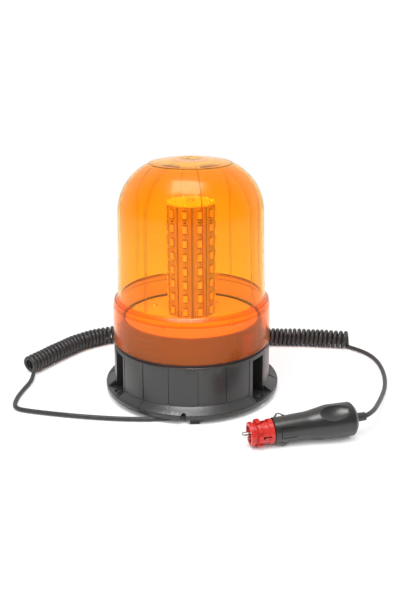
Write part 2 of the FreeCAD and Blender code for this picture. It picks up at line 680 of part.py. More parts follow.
def shoulder_point(angle, inset):
    """Point on the round shoulder, at an angle up from its widest place."""
    reach = shoulder_arc_radius - inset
    return Vector(arc_centre + reach * math.cos(angle), 0, shoulder_start_z + reach * math.sin(angle))


def shoulder_arc(inset):
    """The shoulder curve, set in from the outside by a wall or part of it."""
    return Part.Arc(shoulder_point(0.0, inset), shoulder_point(crown_angle / 2.0, inset),
                    shoulder_point(crown_angle, inset))


def side_points(inset):
    """Lens side from its lower edge up to the start of the shoulder."""
    return [Vector(skirt_foot_radius - inset, 0, lens_foot_z),
            Vector(skirt_top_radius - inset, 0, skirt_top_z - inset * 0.3),
            Vector(collar_top_radius - inset, 0, collar_top_z - inset * 0.5),
            Vector(dome_foot_radius - inset, 0, dome_foot_z - inset * 0.4),
            Vector(dome_mid_radius - inset, 0, dome_mid_z),
            Vector(shoulder_start_radius - inset, 0, shoulder_start_z)]


def lens():
    """Amber cover: turned shell with a stepped crown, inner ribs, lugs and bayonet tabs."""
    top = crown_z + crown_step + crown_rise
    outside = [Part.LineSegment(a, b).toShape() for a, b in zip(side_points(0.0), side_points(0.0)[1:])]
    outside.append(shoulder_arc(0.0).toShape())
    rim = Vector(crown_radius, 0, crown_z)
    step = Vector(crown_radius - 0.4, 0, crown_z + crown_step)
    lip = Vector(dimple_radius, 0, top)
    bowl = Vector(gate_radius, 0, top - dimple_depth)
    crown_middle = Vector((crown_radius + dimple_radius) / 2.0, 0, crown_z + crown_step + crown_rise * 0.66)
    bowl_middle = Vector(dimple_radius / 2.0, 0, top - dimple_depth * 0.78)
    outside.append(Part.LineSegment(rim, step).toShape())
    outside.append(Part.Arc(step, crown_middle, lip).toShape())
    outside.append(Part.Arc(lip, bowl_middle, bowl).toShape())
    inner_top = Vector(gate_radius, 0, top - dimple_depth - lens_wall)
    centre = [Vector(0, 0, bowl.z), Vector(0, 0, inner_top.z)]
    inner_end = shoulder_point(crown_angle, lens_wall)
    inner_middle = Vector(inner_end.x / 2.0, 0, inner_end.z * 0.26 + inner_top.z * 0.74)
    for start, end in zip([bowl] + centre, centre + [inner_top]):
        outside.append(Part.LineSegment(start, end).toShape())
    outside.append(Part.Arc(inner_top, inner_middle, inner_end).toShape())
    outside.append(shoulder_arc(lens_wall).toShape())
    inside = list(reversed(side_points(lens_wall)))
    outside += [Part.LineSegment(a, b).toShape() for a, b in zip(inside, inside[1:])]
    outside.append(Part.LineSegment(inside[-1], side_points(0.0)[0]).toShape())
    shell = Part.Face(Part.Wire(Part.__sortEdges__(outside))).revolve(ORIGIN, UP, 360)
    return shell.multiFuse(lens_lugs()).multiFuse(lens_ribs())


def lens_ribs():
    """Fine upright ribs inside the dome, following its curve."""
    width, depth = lens_rib
    near = lens_wall - 0.2
    far = lens_wall + depth
    low_near, high_near = side_points(near)[3:], side_points(far)[3:]
    for line in (low_near, high_near):
        line[0] = line[0] + unit(line[1] - line[0]) * lens_rib_start
    edges = [Part.LineSegment(a, b).toShape() for a, b in zip(low_near, low_near[1:])]
    edges += [Part.LineSegment(a, b).toShape() for a, b in zip(high_near, high_near[1:])]
    edges += [shoulder_arc(near).toShape(), shoulder_arc(far).toShape()]
    edges.append(Part.LineSegment(low_near[0], high_near[0]).toShape())
    edges.append(Part.LineSegment(shoulder_point(crown_angle, near), shoulder_point(crown_angle, far)).toShape())
    face = Part.Face(Part.Wire(Part.__sortEdges__(edges)))
    rib = face.extrude(Vector(0, width, 0))
    rib.translate(Vector(0, -width / 2.0, 0))
    ribs = []
    for index in range(lens_rib_count):
        azimuth = lens_rib_first_azimuth + index * 360.0 / lens_rib_count
        ribs.append(turned_about_z(rib, azimuth - 90.0))
    return ribs


def lens_lugs():
    """Lugs inside the skirt with the bayonet tab on one side, and one arrow-shaped gusset."""
    face_radius = neck_radius + neck_ridge_depth + lug_depth_gap
    outer = skirt_foot_radius - lens_wall + 0.6
    lug = sector(lug_span / 2.0, face_radius, outer, lens_foot_z + 0.6, lens_foot_z + 17.5)
    slot = sector(lug_span / 2.0 - 2.2, face_radius - 1, outer - 1.6, lens_foot_z + 4.0, lens_foot_z + 10.0)
    tab = sector(tab_span / 2.0, neck_radius + 0.5, face_radius + 1.0, tab_level, tab_level + tab_height)
    lugs = []
    for azimuth in lug_azimuths:
        lugs.append(around(lug.cut(slot), azimuth))
        lugs.append(around(tab, azimuth - (lug_span - tab_span) / 2.0))
    arrow = Part.makePolygon([Vector(-3.6, 0, lens_foot_z), Vector(3.6, 0, lens_foot_z),
                              Vector(0, 0, lens_foot_z + 8.4), Vector(-3.6, 0, lens_foot_z)])
    gusset = Part.Face(arrow).extrude(Vector(0, 2.4, 0))
    gusset.translate(Vector(0, -skirt_foot_radius + lens_wall - 0.6, 0))
    lugs.append(around(gusset, 38.0))
    return lugs


def lens_gasket():
    """Rubber ring between the shoulder and the lens edge."""
    outer = wall_top_radius - gasket_inset
    inner = outer - gasket_width
    return turned([(inner, shoulder_z), (outer, shoulder_z), (outer, lens_foot_z), (inner, lens_foot_z)],
                  {1: 0.5, 2: 0.5})


# ================================================================ lighter plug
def laid_out(shape):
    """Piece drawn along +X from the tip, turned and moved to where the plug lies."""
    copy = shape.copy()
    copy.rotate(ORIGIN, Vector(1, 0, 0), plug_roll)
    copy.rotate(ORIGIN, Vector(0, 1, 0), -plug_tilt)
    copy.rotate(ORIGIN, UP, plug_heading)
    copy.translate(Vector(*plug_tip_point))
    return copy


def along_x(points, radii=None):
    """Solid of revolution about the plug axis from (distance from tip, radius) points."""
    body = turned([(radius, distance) for distance, radius in points], radii)
    body.rotate(ORIGIN, Vector(0, 1, 0), 90)
    return body


def bar_x(radius, start, end):
    """Round bar on the plug axis."""
    return Part.makeCylinder(radius, end - start, Vector(start, 0, 0), Vector(1, 0, 0))


def about_axis(shape, angle):
    """Copy turned about the plug axis."""
    copy = shape.copy()
    copy.rotate(ORIGIN, Vector(1, 0, 0), angle)
    return copy


def plug_body():
    """Outside of barrel and grip as one shape, with three thumb hollows."""
    body = along_x([(barrel_start, 0.0), (barrel_start, barrel_radius), (55.0, barrel_radius + 0.9),
                    (72.0, handle_radius), (plug_end - 3.0, handle_radius - 0.5),
                    (plug_end, handle_radius - 4.5), (plug_end, 0.0)],
                   {1: 0.8, 2: 36.0, 3: 30.0, 4: 2.6, 5: 1.6})
    hollow = Part.makeSphere(1.0)
    stretch = FreeCAD.Matrix()
    stretch.scale(15.0, 10.0, 5.6)
    hollow = hollow.transformGeometry(stretch)
    hollow.translate(Vector(75.5, 0, handle_radius + 1.9))
    for angle in (60.0, 180.0, 300.0):
        body = body.cut(about_axis(hollow, angle))
    return body


def plug_inside():
    """Hollow of the two shells, with the throat that grips the nose and the lead."""
    return along_x([(barrel_start - 1, 0.0), (barrel_start - 1, nose_radius + screw_fit),
                    (barrel_start + 3.0, nose_radius + screw_fit), (barrel_start + 3.0, barrel_radius - shell_wall),
                    (46.0, barrel_radius - shell_wall), (58.0, barrel_radius - shell_wall),
                    (plug_end - 10.0, barrel_radius - shell_wall), (plug_end - 10.0, cord_radius + relief_wall + screw_fit),
                    (plug_end + 1, cord_radius + relief_wall + screw_fit), (plug_end + 1, 0.0)])


def plug_shells():
    """Two halves of the plug, parted through the side contacts."""
    body = plug_body().cut(plug_inside())
    slot = Part.makeBox(14.2, 3.6, 40.0, Vector(barrel_start + 1.5, -1.8, -20.0))
    slot = slot.cut(bar_x(barrel_radius - 2.6 - side_contact_travel - part_gap, 0, 60))
    body = body.cut(slot)
    frame = Part.makeBox(13.0, 8.0, 9.2, Vector(barrel_start + 4.4, -barrel_radius - 4.0, -4.6))
    frame = frame.cut(Part.makeBox(13.0, 10.0, 8.0, Vector(barrel_start + 5.0, -barrel_radius - 5.0, -4.0)))
    frame = frame.cut(bar_x(barrel_radius - 0.6, 0, 60))
    body = body.cut(about_axis(frame, plug_frame_angle))
    half = Part.makeBox(200.0, 40.0, 60.0, Vector(-10.0, -40.0, -30.0))
    screw_hole = Part.makeCylinder(1.3 + screw_fit, 24.0, Vector(52.0, -9.0, 0), Vector(0, 1, 0))
    post = Part.makeCylinder(3.0, 24.0, Vector(52.0, -12.0, 0), Vector(0, 1, 0)).common(plug_body())
    body = body.fuse(post).cut(screw_hole)
    head_seat = Part.makeCylinder(2.9, 10.0, Vector(52.0, 8.6, 0), Vector(0, 1, 0))
    body = body.cut(head_seat)
    return body.common(half), body.cut(half)


def adapter():
    """Red push-on sleeve: front ring, lugged ring, waist and rear ring, with bayonet slots."""
    front = adapter_start
    floor = front + adapter_recess
    wall = nose_start - 0.3
    rim = adapter_radius - 0.3
    waist = adapter_radius - 0.8
    bore = nose_radius + running_gap
    sleeve = along_x([(floor, 3.2), (floor, 6.9), (front, 7.2), (front, rim), (front + 2.9, rim),
                      (front + 3.4, waist - 0.6), (front + 5.0, waist - 0.6), (front + 5.7, adapter_lug_radius),
                      (front + 9.0, adapter_lug_radius), (front + 9.8, waist), (adapter_end - 4.6, waist),
                      (adapter_end - 4.0, adapter_radius), (adapter_end, adapter_radius), (adapter_end, bore),
                      (wall, bore), (wall, 3.2)],
                     {3: 0.7, 4: 0.6, 7: 0.6, 8: 0.6, 11: 0.5, 12: 0.5})
    cuts = []
    for index in range(8):
        angle = index * 45.0 + 10.0
        gap = Part.makeBox(4.6, 3.0, 4.0, Vector(adapter_start + 5.1, -1.5, adapter_radius - 0.2))
        cuts.append(about_axis(gap, angle))
    for index in range(4):
        angle = index * 90.0 + 32.0
        slit = Part.makeBox(9.6, 1.3, 6.0, Vector(adapter_start + 6.6, -0.3, nose_radius - 1.0))
        step = Part.makeBox(4.8, 1.6, 6.0, Vector(adapter_start + 6.6, -1.3, nose_radius - 1.0))
        cuts.append(about_axis(slit.fuse(step), angle))
    return sleeve.cut(Part.makeCompound(cuts))


def side_contact():
    """Sprung loop standing in the slot on top of the barrel."""
    corners = [(2.2, -2.6), (2.2, -0.5), (5.8, 3.4), (13.8, -0.8), (13.8, -1.9), (5.8, 2.3), (3.2, -0.9), (3.2, -2.6)]
    strip = [Vector(barrel_start + along, -1.4, barrel_radius + out) for along, out in corners]
    edges = bent_edges(strip, [0, 0.6, 2.0, 0, 0, 0.9, 0, 0], True)
    return Part.Face(Part.Wire(Part.__sortEdges__(edges))).extrude(Vector(0, 2.8, 0))


def plug_parts():
    """All pieces of the lighter plug, laid down beside the beacon."""
    tip = along_x([(0.0, 0.0), (0.4, 1.4), (1.4, tip_radius), (nose_start + 1.2, tip_radius),
                   (nose_start + 1.2, 3.4), (nose_start + 2.4, 3.4), (nose_start + 2.4, 1.2),
                   (nose_start + 6.0, 1.2), (nose_start + 6.0, 0.0)])
    nose = along_x([(nose_start, tip_radius + running_gap), (nose_start, nose_radius - 0.5),
                    (nose_start + 0.8, nose_radius), (barrel_start + 6.0, nose_radius),
                    (barrel_start + 6.0, 3.9), (nose_start + 1.15, 3.9), (nose_start + 1.15, tip_radius + running_gap)])
    spring = along_x([(nose_start + 2.4 + tip_travel + 0.3, 1.7), (nose_start + 2.4 + tip_travel + 0.3, 3.5),
                      (nose_start + 13.4, 3.5), (nose_start + 13.4, 1.7)])
    for index in range(4):
        ring = bar_x(3.6, nose_start + 7.6 + index * 1.5, nose_start + 8.3 + index * 1.5)
        spring = spring.cut(ring.cut(bar_x(2.9, 0, 60)))
    fuse_start = nose_start + 13.4
    fuse = along_x([(fuse_start, 0.0), (fuse_start, 3.1), (fuse_start + 5.0, 3.1), (fuse_start + 5.0, 2.8),
                    (fuse_start + 17.0, 2.8), (fuse_start + 17.0, 3.1), (fuse_start + 22.0, 3.1),
                    (fuse_start + 22.0, 0.0)])
    front, back = plug_shells()
    relief = along_x([(plug_end - 9.0, cord_radius + 0.02), (plug_end - 9.0, cord_radius + relief_wall),
                      (plug_end + 0.4, cord_radius + relief_wall),
                      (plug_end + relief_length, cord_radius + relief_wall - 0.3),
                      (plug_end + relief_length, cord_radius + 0.02)])
    screw = pan_screw(1.3, 2.6, 1.6, 17.0)
    screw.rotate(ORIGIN, Vector(1, 0, 0), -90)
    screw.translate(Vector(52.0, 8.6, 0))
    inner_lead = bar_x(cord_radius, plug_end - 9.0, plug_end + relief_length)
    save("plug_tip", laid_out(tip))
    save("plug_nose", laid_out(nose))
    save("plug_spring", laid_out(spring))
    save("plug_fuse", laid_out(fuse))
    save("plug_shell_front", laid_out(front))
    save("plug_shell_back", laid_out(back))
    save("plug_relief", laid_out(relief))
    save("plug_screw", laid_out(screw))
    save("plug_adapter", laid_out(adapter()))
    save("plug_contact_upper", laid_out(side_contact()))
    save("plug_contact_lower", laid_out(about_axis(side_contact(), 180.0)))
    save("plug_cord_end", laid_out(inner_lead))


# ================================================================ cord
def cord_parts():
    """Two plain leads and the coiled part as one fat bar."""
    for name, route, radius in (("base_lead", base_lead_route, cord_radius),
                                ("coil_cord", coil_route, coil_radius),
                                ("plug_lead", plug_lead_route, cord_radius)):
        bar, length, bends = tube(route, radius)
        ideal = math.pi * radius ** 2 * length
        print(name, "length %.0f mm, volume ratio %.3f, bend radii" % (length, bar.Volume / ideal),
              ["%.0f" % bend for bend in bends])
        save(name, bar)


def build():
    """Make every node."""
    os.makedirs("parts", exist_ok=True)
    save("base_housing", base_housing())
    save("bottom_cover", bottom_cover())
    under = placed(pan_screw(cover_screw_radius, 3.1, 1.9, cover_screw_length + cover_thickness),
                   0.0, -cover_boss_circle, cover_bottom_z, True)
    save("cover_screws", ring_of(under, cover_boss_azimuths))
    foot = radial_block(foot_size[0], wall_foot_radius + 0.6, wall_foot_radius + 0.6 + foot_size[1],
                        0.0, ground_gap)
    save("rubber_feet", ring_of(foot, foot_azimuths))
    cup, ring, pad, bolt, nut = magnet_parts()
    save("magnet_cup", cup)
    save("magnet_ring", ring)
    save("magnet_pad", pad)
    save("magnet_bolt", bolt)
    save("magnet_nut", nut)
    save("cable_grommet", cable_grommet())
    driver_parts()
    deck_parts()
    tower_parts()
    save("lens", lens())
    save("lens_gasket", lens_gasket())
    plug_parts()
    cord_parts()


build()
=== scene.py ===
"""Dresses an amber warning beacon: clear lens, light tower, black base, coiled cord and red-sleeved plug.

Run as a script in Blender 4.5. Lengths are in metres and share the frame's origin.
"""
import math

import bpy
import bmesh
from mathutils import Matrix, Vector


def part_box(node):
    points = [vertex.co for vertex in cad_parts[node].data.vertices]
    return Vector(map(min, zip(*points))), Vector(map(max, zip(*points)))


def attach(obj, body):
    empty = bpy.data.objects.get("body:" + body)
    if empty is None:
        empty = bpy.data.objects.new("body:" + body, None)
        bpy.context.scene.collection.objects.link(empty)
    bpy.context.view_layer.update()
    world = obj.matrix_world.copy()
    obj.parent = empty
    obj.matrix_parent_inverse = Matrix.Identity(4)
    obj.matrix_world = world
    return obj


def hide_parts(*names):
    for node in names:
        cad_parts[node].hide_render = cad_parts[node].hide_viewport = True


bl_info = {
    "name": "Warning Beacon Finish",
    "version": (1, 0, 0),
    "blender": (4, 5, 0),
    "location": "3D View > Sidebar > Beacon",
    "description": "Materials, lens, lamps and cord for an amber warning beacon",
    "category": "Object",
}

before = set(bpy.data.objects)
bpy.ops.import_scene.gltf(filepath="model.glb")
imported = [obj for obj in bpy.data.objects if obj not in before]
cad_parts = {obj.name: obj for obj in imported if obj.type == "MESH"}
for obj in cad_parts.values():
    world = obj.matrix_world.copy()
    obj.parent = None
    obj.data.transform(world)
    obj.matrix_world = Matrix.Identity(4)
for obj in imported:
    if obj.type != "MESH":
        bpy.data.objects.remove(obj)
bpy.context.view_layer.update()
MM = 0.001


# ---- shader expressions
def arithmetic(operation, swapped=False):
    """Method of Value for one Math operation; a reflected form has its terms swapped."""
    def method(self, other):
        first, second = (other, self) if swapped else (self, other)
        return self.calculate(operation, first, second)
    return method


class Value:
    """A number socket that takes part in plain arithmetic, in any kind of node tree."""

    def __init__(self, tree, socket):
        self.tree = tree
        self.socket = socket

    def calculate(self, operation, first, second=0.0):
        """Adds a Math node on two terms, each a Value or a number."""
        node = self.tree.nodes.new("ShaderNodeMath")
        node.operation = operation
        for slot, term in zip(node.inputs, (first, second)):
            if isinstance(term, Value):
                self.tree.links.new(term.socket, slot)
            else:
                slot.default_value = term
        return Value(self.tree, node.outputs[0])

    def of(self, operation):
        """A function of this value alone, such as SINE."""
        return self.calculate(operation, self)

    __add__ = arithmetic("ADD")
    __radd__ = arithmetic("ADD", swapped=True)
    __sub__ = arithmetic("SUBTRACT")
    __rsub__ = arithmetic("SUBTRACT", swapped=True)
    __mul__ = arithmetic("MULTIPLY")
    __rmul__ = arithmetic("MULTIPLY", swapped=True)
    __truediv__ = arithmetic("DIVIDE")
    __rtruediv__ = arithmetic("DIVIDE", swapped=True)
    __mod__ = arithmetic("FLOORED_MODULO")
    __gt__ = arithmetic("GREATER_THAN")
    __lt__ = arithmetic("LESS_THAN")
    least = arithmetic("MINIMUM")
    most = arithmetic("MAXIMUM")

    def __abs__(self):
        return self.of("ABSOLUTE")


class Finish:
    """A material being made: a tree, its Principled shader and a way to add nodes."""

    def __init__(self, name):
        self.material = bpy.data.materials.new(name)
        self.material.use_nodes = True
        self.tree = self.material.node_tree
        self.tree.nodes.clear()
        self.output = self.tree.nodes.new("ShaderNodeOutputMaterial")
        self.shader = self.tree.nodes.new("ShaderNodeBsdfPrincipled")
        self.tree.links.new(self.shader.outputs[0], self.output.inputs["Surface"])

    def node(self, kind, settings=None, inputs=None, output=0):
        """Adds a node, sets it up, feeds it, and gives one of its outputs."""
        made = self.tree.nodes.new(kind)
        for key, setting in (settings or {}).items():
            setattr(made, key, setting)
        for key, value in (inputs or {}).items():
            self.feed(made.inputs[key], value)
        return Value(self.tree, made.outputs[output])

    def feed(self, socket, value):
        """Links a Value or sets a constant."""
        if isinstance(value, Value):
            self.tree.links.new(value.socket, socket)
        else:
            socket.default_value = value

    def set(self, **values):
        """Sets or links the Principled shader's sockets; underscores stand for spaces."""
        for key, value in values.items():
            self.feed(self.shader.inputs[key.replace("_", " ")], value)
        return self

    def place(self):
        """Object coordinates, in metres."""
        return self.node("ShaderNodeTexCoord", output="Object")

    def noise(self, scale, detail=3.0, roughness=0.5, vector=None):
        """Cloudy variation from 0 to 1; scale is in features per metre."""
        return self.node("ShaderNodeTexNoise", None, {
            "Vector": vector or self.place(), "Scale": scale, "Detail": detail,
            "Roughness": roughness}, "Fac")

    def blend(self, factor, first, second):
        """Colour between two colours."""
        return self.node("ShaderNodeMix", {"data_type": "RGBA"}, {0: factor, 6: first, 7: second}, 2)

    def mottled(self, factor, colour, darkest, lightest):
        """A colour that drifts between two shades of itself."""
        return self.blend(factor, shade(colour, darkest), shade(colour, lightest))

    def bump(self, height, strength, distance):
        """Surface relief from a height."""
        return self.node("ShaderNodeBump", None, {
            "Height": height, "Strength": strength, "Distance": distance})

    def axes(self, vector=None):
        """The three parts of a position."""
        split = self.tree.nodes.new("ShaderNodeSeparateXYZ")
        self.feed(split.inputs[0], vector or self.place())
        return [Value(self.tree, out) for out in split.outputs]

    def give_way(self, factor, other):
        """Shows another shader in place of the Principled one as a factor goes to 1."""
        mixer = self.tree.nodes.new("ShaderNodeMixShader")
        self.feed(mixer.inputs[0], factor)
        self.tree.links.new(self.shader.outputs[0], mixer.inputs[1])
        self.tree.links.new(other.outputs[0], mixer.inputs[2])
        self.tree.links.new(mixer.outputs[0], self.output.inputs["Surface"])


def opaque(colour):
    """Colour with full alpha."""
    return (colour[0], colour[1], colour[2], 1.0)


def shade(colour, factor):
    """Colour made darker or lighter."""
    return (colour[0] * factor, colour[1] * factor, colour[2] * factor, 1.0)


def moulded_plastic(name, colour, roughness, grain=1900.0, depth=0.00003, gloss=0.5, coat=0.0):
    """Satin moulded plastic with a fine spark-eroded grain, slight flow marks and, if asked, a sheen."""
    finish = Finish(name)
    cloud = finish.noise(22.0, 4.0)
    fine = finish.noise(grain, 2.0)
    streak = finish.noise(90.0, 3.0)
    finish.set(
        Base_Color=finish.mottled(cloud, colour, 0.85, 1.2),
        Roughness=roughness - 0.05 + 0.1 * streak + 0.04 * fine,
        Normal=finish.bump(fine, 0.5, depth), Specular_IOR_Level=gloss,
        Coat_Weight=coat, Coat_Roughness=0.25)
    return finish.material


def plain_rubber(name, colour):
    """Matt black rubber with a bloom."""
    finish = Finish(name)
    bloom = finish.noise(160.0, 4.0)
    fine = finish.noise(3000.0, 2.0)
    finish.set(
        Base_Color=finish.mottled(bloom, colour, 1.0, 1.7),
        Roughness=0.62 + 0.15 * bloom, Normal=finish.bump(fine, 0.4, 0.00002), Specular_IOR_Level=0.4)
    return finish.material


def bright_metal(name, colour, roughness, scratch=0.00001, tarnish=0.1):
    """Plated metal with fine random scratches and a light tarnish."""
    finish = Finish(name)
    cloud = finish.noise(260.0, 4.0)
    stretched = finish.node("ShaderNodeMapping", None, {"Vector": finish.place(), "Scale": (1.0, 1.0, 9.0)})
    lines = finish.noise(1300.0, 4.0, 0.6, stretched)
    finish.set(
        Base_Color=finish.mottled(cloud, colour, 1.0, 1.0 - tarnish),
        Metallic=1.0, Roughness=roughness + 0.12 * cloud + 0.06 * lines,
        Normal=finish.bump(lines, 0.3, scratch))
    return finish.material


# painted shade: the amber is painted deeper from this height, over this rise
TOP_SHADE_FROM = 130.0 * MM
TOP_SHADE_OVER = 60.0 * MM
# painted shade: dark red painted at the corners of the lens
CORNER_SHADE_AMBER = (0.36, 0.02, 0.005, 1.0)
WALL_IOR = 1.13


def amber_glass(name, tint, lamp_tint, roughness, cloudiness, edges):
    """Clear amber moulding with dark red bands painted at given heights, painted shade for light bent at the
    lens's corners; edges are (height, half width).

    The tint is painted deeper up the dome, painted shade on its upper part, and light that comes in for the
    pieces behind it is tinted on its way.
    """
    finish = Finish(name)
    ripple = finish.noise(34.0, 2.0)
    haze = finish.noise(500.0, 3.0)
    level = finish.axes()[2]
    # painted shade: share of the deeper tint, growing up the dome
    upper = ((level - TOP_SHADE_FROM) / TOP_SHADE_OVER).most(0.0).least(1.0)
    body = finish.blend(upper, opaque(tint), (tint[0], tint[1] * 0.82, tint[2] * 0.5, 1.0))
    corner_shade = 0.0
    for height, half in edges:
        # painted shade: the dark red bands peak at each corner's height
        corner_shade = (1.0 - abs(level - height) / half).most(0.0) + corner_shade
    finish.set(
        Base_Color=finish.blend(corner_shade.least(1.0) * 0.85, body, CORNER_SHADE_AMBER),
        Roughness=roughness + 0.03 * haze, Transmission_Weight=1.0 - cloudiness, IOR=WALL_IOR,
        Normal=finish.bump(ripple, 0.12, 0.0004), Specular_IOR_Level=0.5,
        Coat_Weight=0.4, Coat_IOR=1.5, Coat_Roughness=0.30)
    clear = finish.tree.nodes.new("ShaderNodeBsdfTransparent")
    clear.inputs[0].default_value = opaque(lamp_tint)
    finish.give_way(finish.node("ShaderNodeLightPath", output="Is Shadow Ray"), clear)
    return finish.material


def circuit_board(name, colour, copper, tracks):
    """Solder-masked board: faint raised tracks under the mask."""
    finish = Finish(name)
    brick = finish.node("ShaderNodeTexBrick", {"offset": 0.37, "squash": 0.6}, {
        "Vector": finish.place(), "Scale": tracks, "Mortar Size": 0.06, "Brick Width": 1.6,
        "Row Height": 0.35}, "Fac")
    cloud = finish.noise(60.0, 3.0)
    base = finish.mottled(cloud, colour, 0.93, 1.05)
    finish.set(
        Base_Color=finish.blend(brick, base, opaque(copper)), Roughness=0.34 + 0.1 * cloud,
        Normal=finish.bump(brick, 0.4, 0.00004), Coat_Weight=0.15)
    return finish.material


def sheathed_cord(name, colour):
    """Satin cord sheath with a fine grain."""
    finish = Finish(name)
    cloud = finish.noise(120.0, 3.0)
    fine = finish.noise(2600.0, 2.0)
    finish.set(
        Base_Color=finish.mottled(cloud, colour, 0.8, 1.35),
        Roughness=0.36 + 0.12 * cloud + 0.04 * fine, Normal=finish.bump(fine, 0.3, 0.00002),
        Specular_IOR_Level=0.5)
    return finish.material


def lamp_resin(name, colour):
    """Yellow resin window of a lamp."""
    finish = Finish(name)
    cloud = finish.noise(900.0, 2.0)
    finish.set(
        Base_Color=finish.mottled(cloud, colour, 0.92, 1.04),
        Roughness=0.22 + 0.08 * cloud, Normal=finish.bump(cloud, 0.2, 0.00003), Coat_Weight=0.3)
    return finish.material


def wound_copper(name, colour, to_core=(0.024, 0.008, 0.0), turns=44.0):
    """Enamelled wire wound through a ring core: ribs that run round the core's section."""
    finish = Finish(name)
    x, y, _ = finish.axes(finish.node("ShaderNodeMapping", None, {
        "Vector": finish.place(), "Location": to_core}))
    wave = (y.calculate("ARCTAN2", y, x) * turns).of("SINE")
    finish.set(
        Base_Color=finish.mottled(wave * 0.5 + 0.5, colour, 0.45, 1.2),
        Metallic=0.75, Roughness=0.3 + 0.05 * wave, Normal=finish.bump(wave, 0.7, 0.0004))
    return finish.material


def banded_can(name, colour, stripe_pitch=15.5 * MM, stripe_width=2.2 * MM, bare_rim=0.6 * MM):
    """Sleeved capacitor: dark sleeve with pale stripes, bare metal on top."""
    finish = Finish(name)
    x, y, z = finish.axes()
    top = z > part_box("capacitors")[1][2] - bare_rim
    cloud = finish.noise(200.0, 2.0)
    stripe = ((x - y * 0.4) % stripe_pitch < stripe_width) * (1.0 - top)
    dark = finish.blend(stripe, opaque(colour), (0.6, 0.6, 0.62, 1.0))
    finish.set(
        Base_Color=finish.blend(top, dark, (0.7, 0.7, 0.72, 1.0)), Metallic=top * 0.9,
        Roughness=0.35 + 0.1 * cloud, Normal=finish.bump(cloud, 0.1, 0.0001))
    return finish.material


def dress(material, *nodes):
    """Puts one material on every slot of CAD nodes."""
    for node in nodes:
        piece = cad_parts[node]
        piece.data.materials.clear()
        piece.data.materials.append(material)
        for face in piece.data.polygons:
            face.material_index = 0


# ---- mesh helpers
def new_object(name, mesh, materials):
    """Links a mesh as a piece at the origin."""
    piece = bpy.data.objects.new(name, mesh)
    bpy.context.scene.collection.objects.link(piece)
    for material in materials:
        mesh.materials.append(material)
    return piece


def around(radius, turn, height):
    """Point at a radius, a turn about the axis and a height."""
    return (radius * math.cos(turn), radius * math.sin(turn), height)


def turn_between(first, second):
    """Signed turn from the second angle to the first, half a circle at most."""
    return (first - second + math.pi) % math.tau - math.pi


def smooth(mesh, sharp_degrees):
    """Shades a mesh smooth, save where its faces meet at more than an angle."""
    for face in mesh.polygons:
        face.use_smooth = True
    mesh.set_sharp_from_angle(angle=math.radians(sharp_degrees))


def closed_mesh(build, name):
    """Mesh of a finished bmesh, its faces turned outwards."""
    bmesh.ops.recalc_face_normals(build, faces=build.faces)
    mesh = bpy.data.meshes.new(name)
    build.to_mesh(mesh)
    build.free()
    return mesh


def bridge(build, rings):
    """Walls of four-cornered faces from each ring of corners to the next."""
    for here, there in zip(rings, rings[1:]):
        for index, corner in enumerate(here):
            after = (index + 1) % len(here)
            build.faces.new((corner, here[after], there[after], there[index]))


def read_out(holder, title):
    """Plain mesh of an object as its modifiers and splines leave it; the object goes."""
    context = bpy.context.evaluated_depsgraph_get()
    mesh = bpy.data.meshes.new_from_object(holder.evaluated_get(context))
    mesh.name = title
    bpy.data.objects.remove(holder)
    return mesh


def rounded(points, radii, steps=4):
    """Profile through (radius, height) points with the numbered corners rounded."""
    path = []
    for index, point in enumerate(points):
        radius = radii.get(index, 0.0)
        here = Vector(point)
        if radius <= 0 or index in (0, len(points) - 1):
            path.append(here)
            continue
        back = (Vector(points[index - 1]) - here).normalized()
        ahead = (Vector(points[index + 1]) - here).normalized()
        half_turn = (math.pi - back.angle(ahead)) / 2.0
        reach = radius * math.tan(half_turn)
        middle = here + (back + ahead).normalized() * (radius / math.cos(half_turn))
        start = here + back * reach - middle
        end = here + ahead * reach - middle
        sweep = start.angle_signed(end)
        for step in range(steps + 1):
            turn = -sweep * step / steps
            path.append(middle + Vector((start.x * math.cos(turn) - start.y * math.sin(turn),
                                         start.x * math.sin(turn) + start.y * math.cos(turn))))
    return path


def spun_mesh(name, loop, columns, offset):
    """Closed solid spun from a loop of (radius, height) points, each moved by offset, one column per angle."""
    build = bmesh.new()
    grid = []
    poles = {}
    for column, angle in enumerate(columns):
        line = []
        for row, (radius, height) in enumerate(loop):
            radius, height = offset(row, column, radius, height)
            if radius < 1e-7:
                if row not in poles:
                    poles[row] = build.verts.new((0.0, 0.0, height))
                line.append(poles[row])
            else:
                line.append(build.verts.new(around(radius, angle, height)))
        grid.append(line)
    for column in range(len(columns)):
        here = grid[column]
        there = grid[(column + 1) % len(columns)]
        for row in range(len(loop)):
            below = (row + 1) % len(loop)
            corners = []
            for corner in (here[row], there[row], there[below], here[below]):
                if corner not in corners:
                    corners.append(corner)
            if len(corners) > 2:
                build.faces.new(corners)
    mesh = closed_mesh(build, name)
    smooth(mesh, 38.0)
    return mesh


def split_triangle(corners, middles):
    """Triangles that fill one triangle when some of its edges have a middle point."""
    count = sum(middle is not None for middle in middles)
    a, b, c = corners
    if count == 0:
        return [corners]
    if count == 3:
        ab, bc, ca = middles
        return [(a, ab, ca), (ab, b, bc), (ca, bc, c), (ab, bc, ca)]
    while (middles[0] is None) if count == 1 else (middles[2] is not None):
        a, b, c = b, c, a
        middles = middles[1:] + middles[:1]
    ab, bc, _ = middles
    if count == 1:
        return [(a, ab, c), (ab, b, c)]
    return [(ab, b, bc), (a, ab, bc), (a, bc, c)]


WIDEST_FACET = math.radians(2.5)
MOST_SPLITS = 6


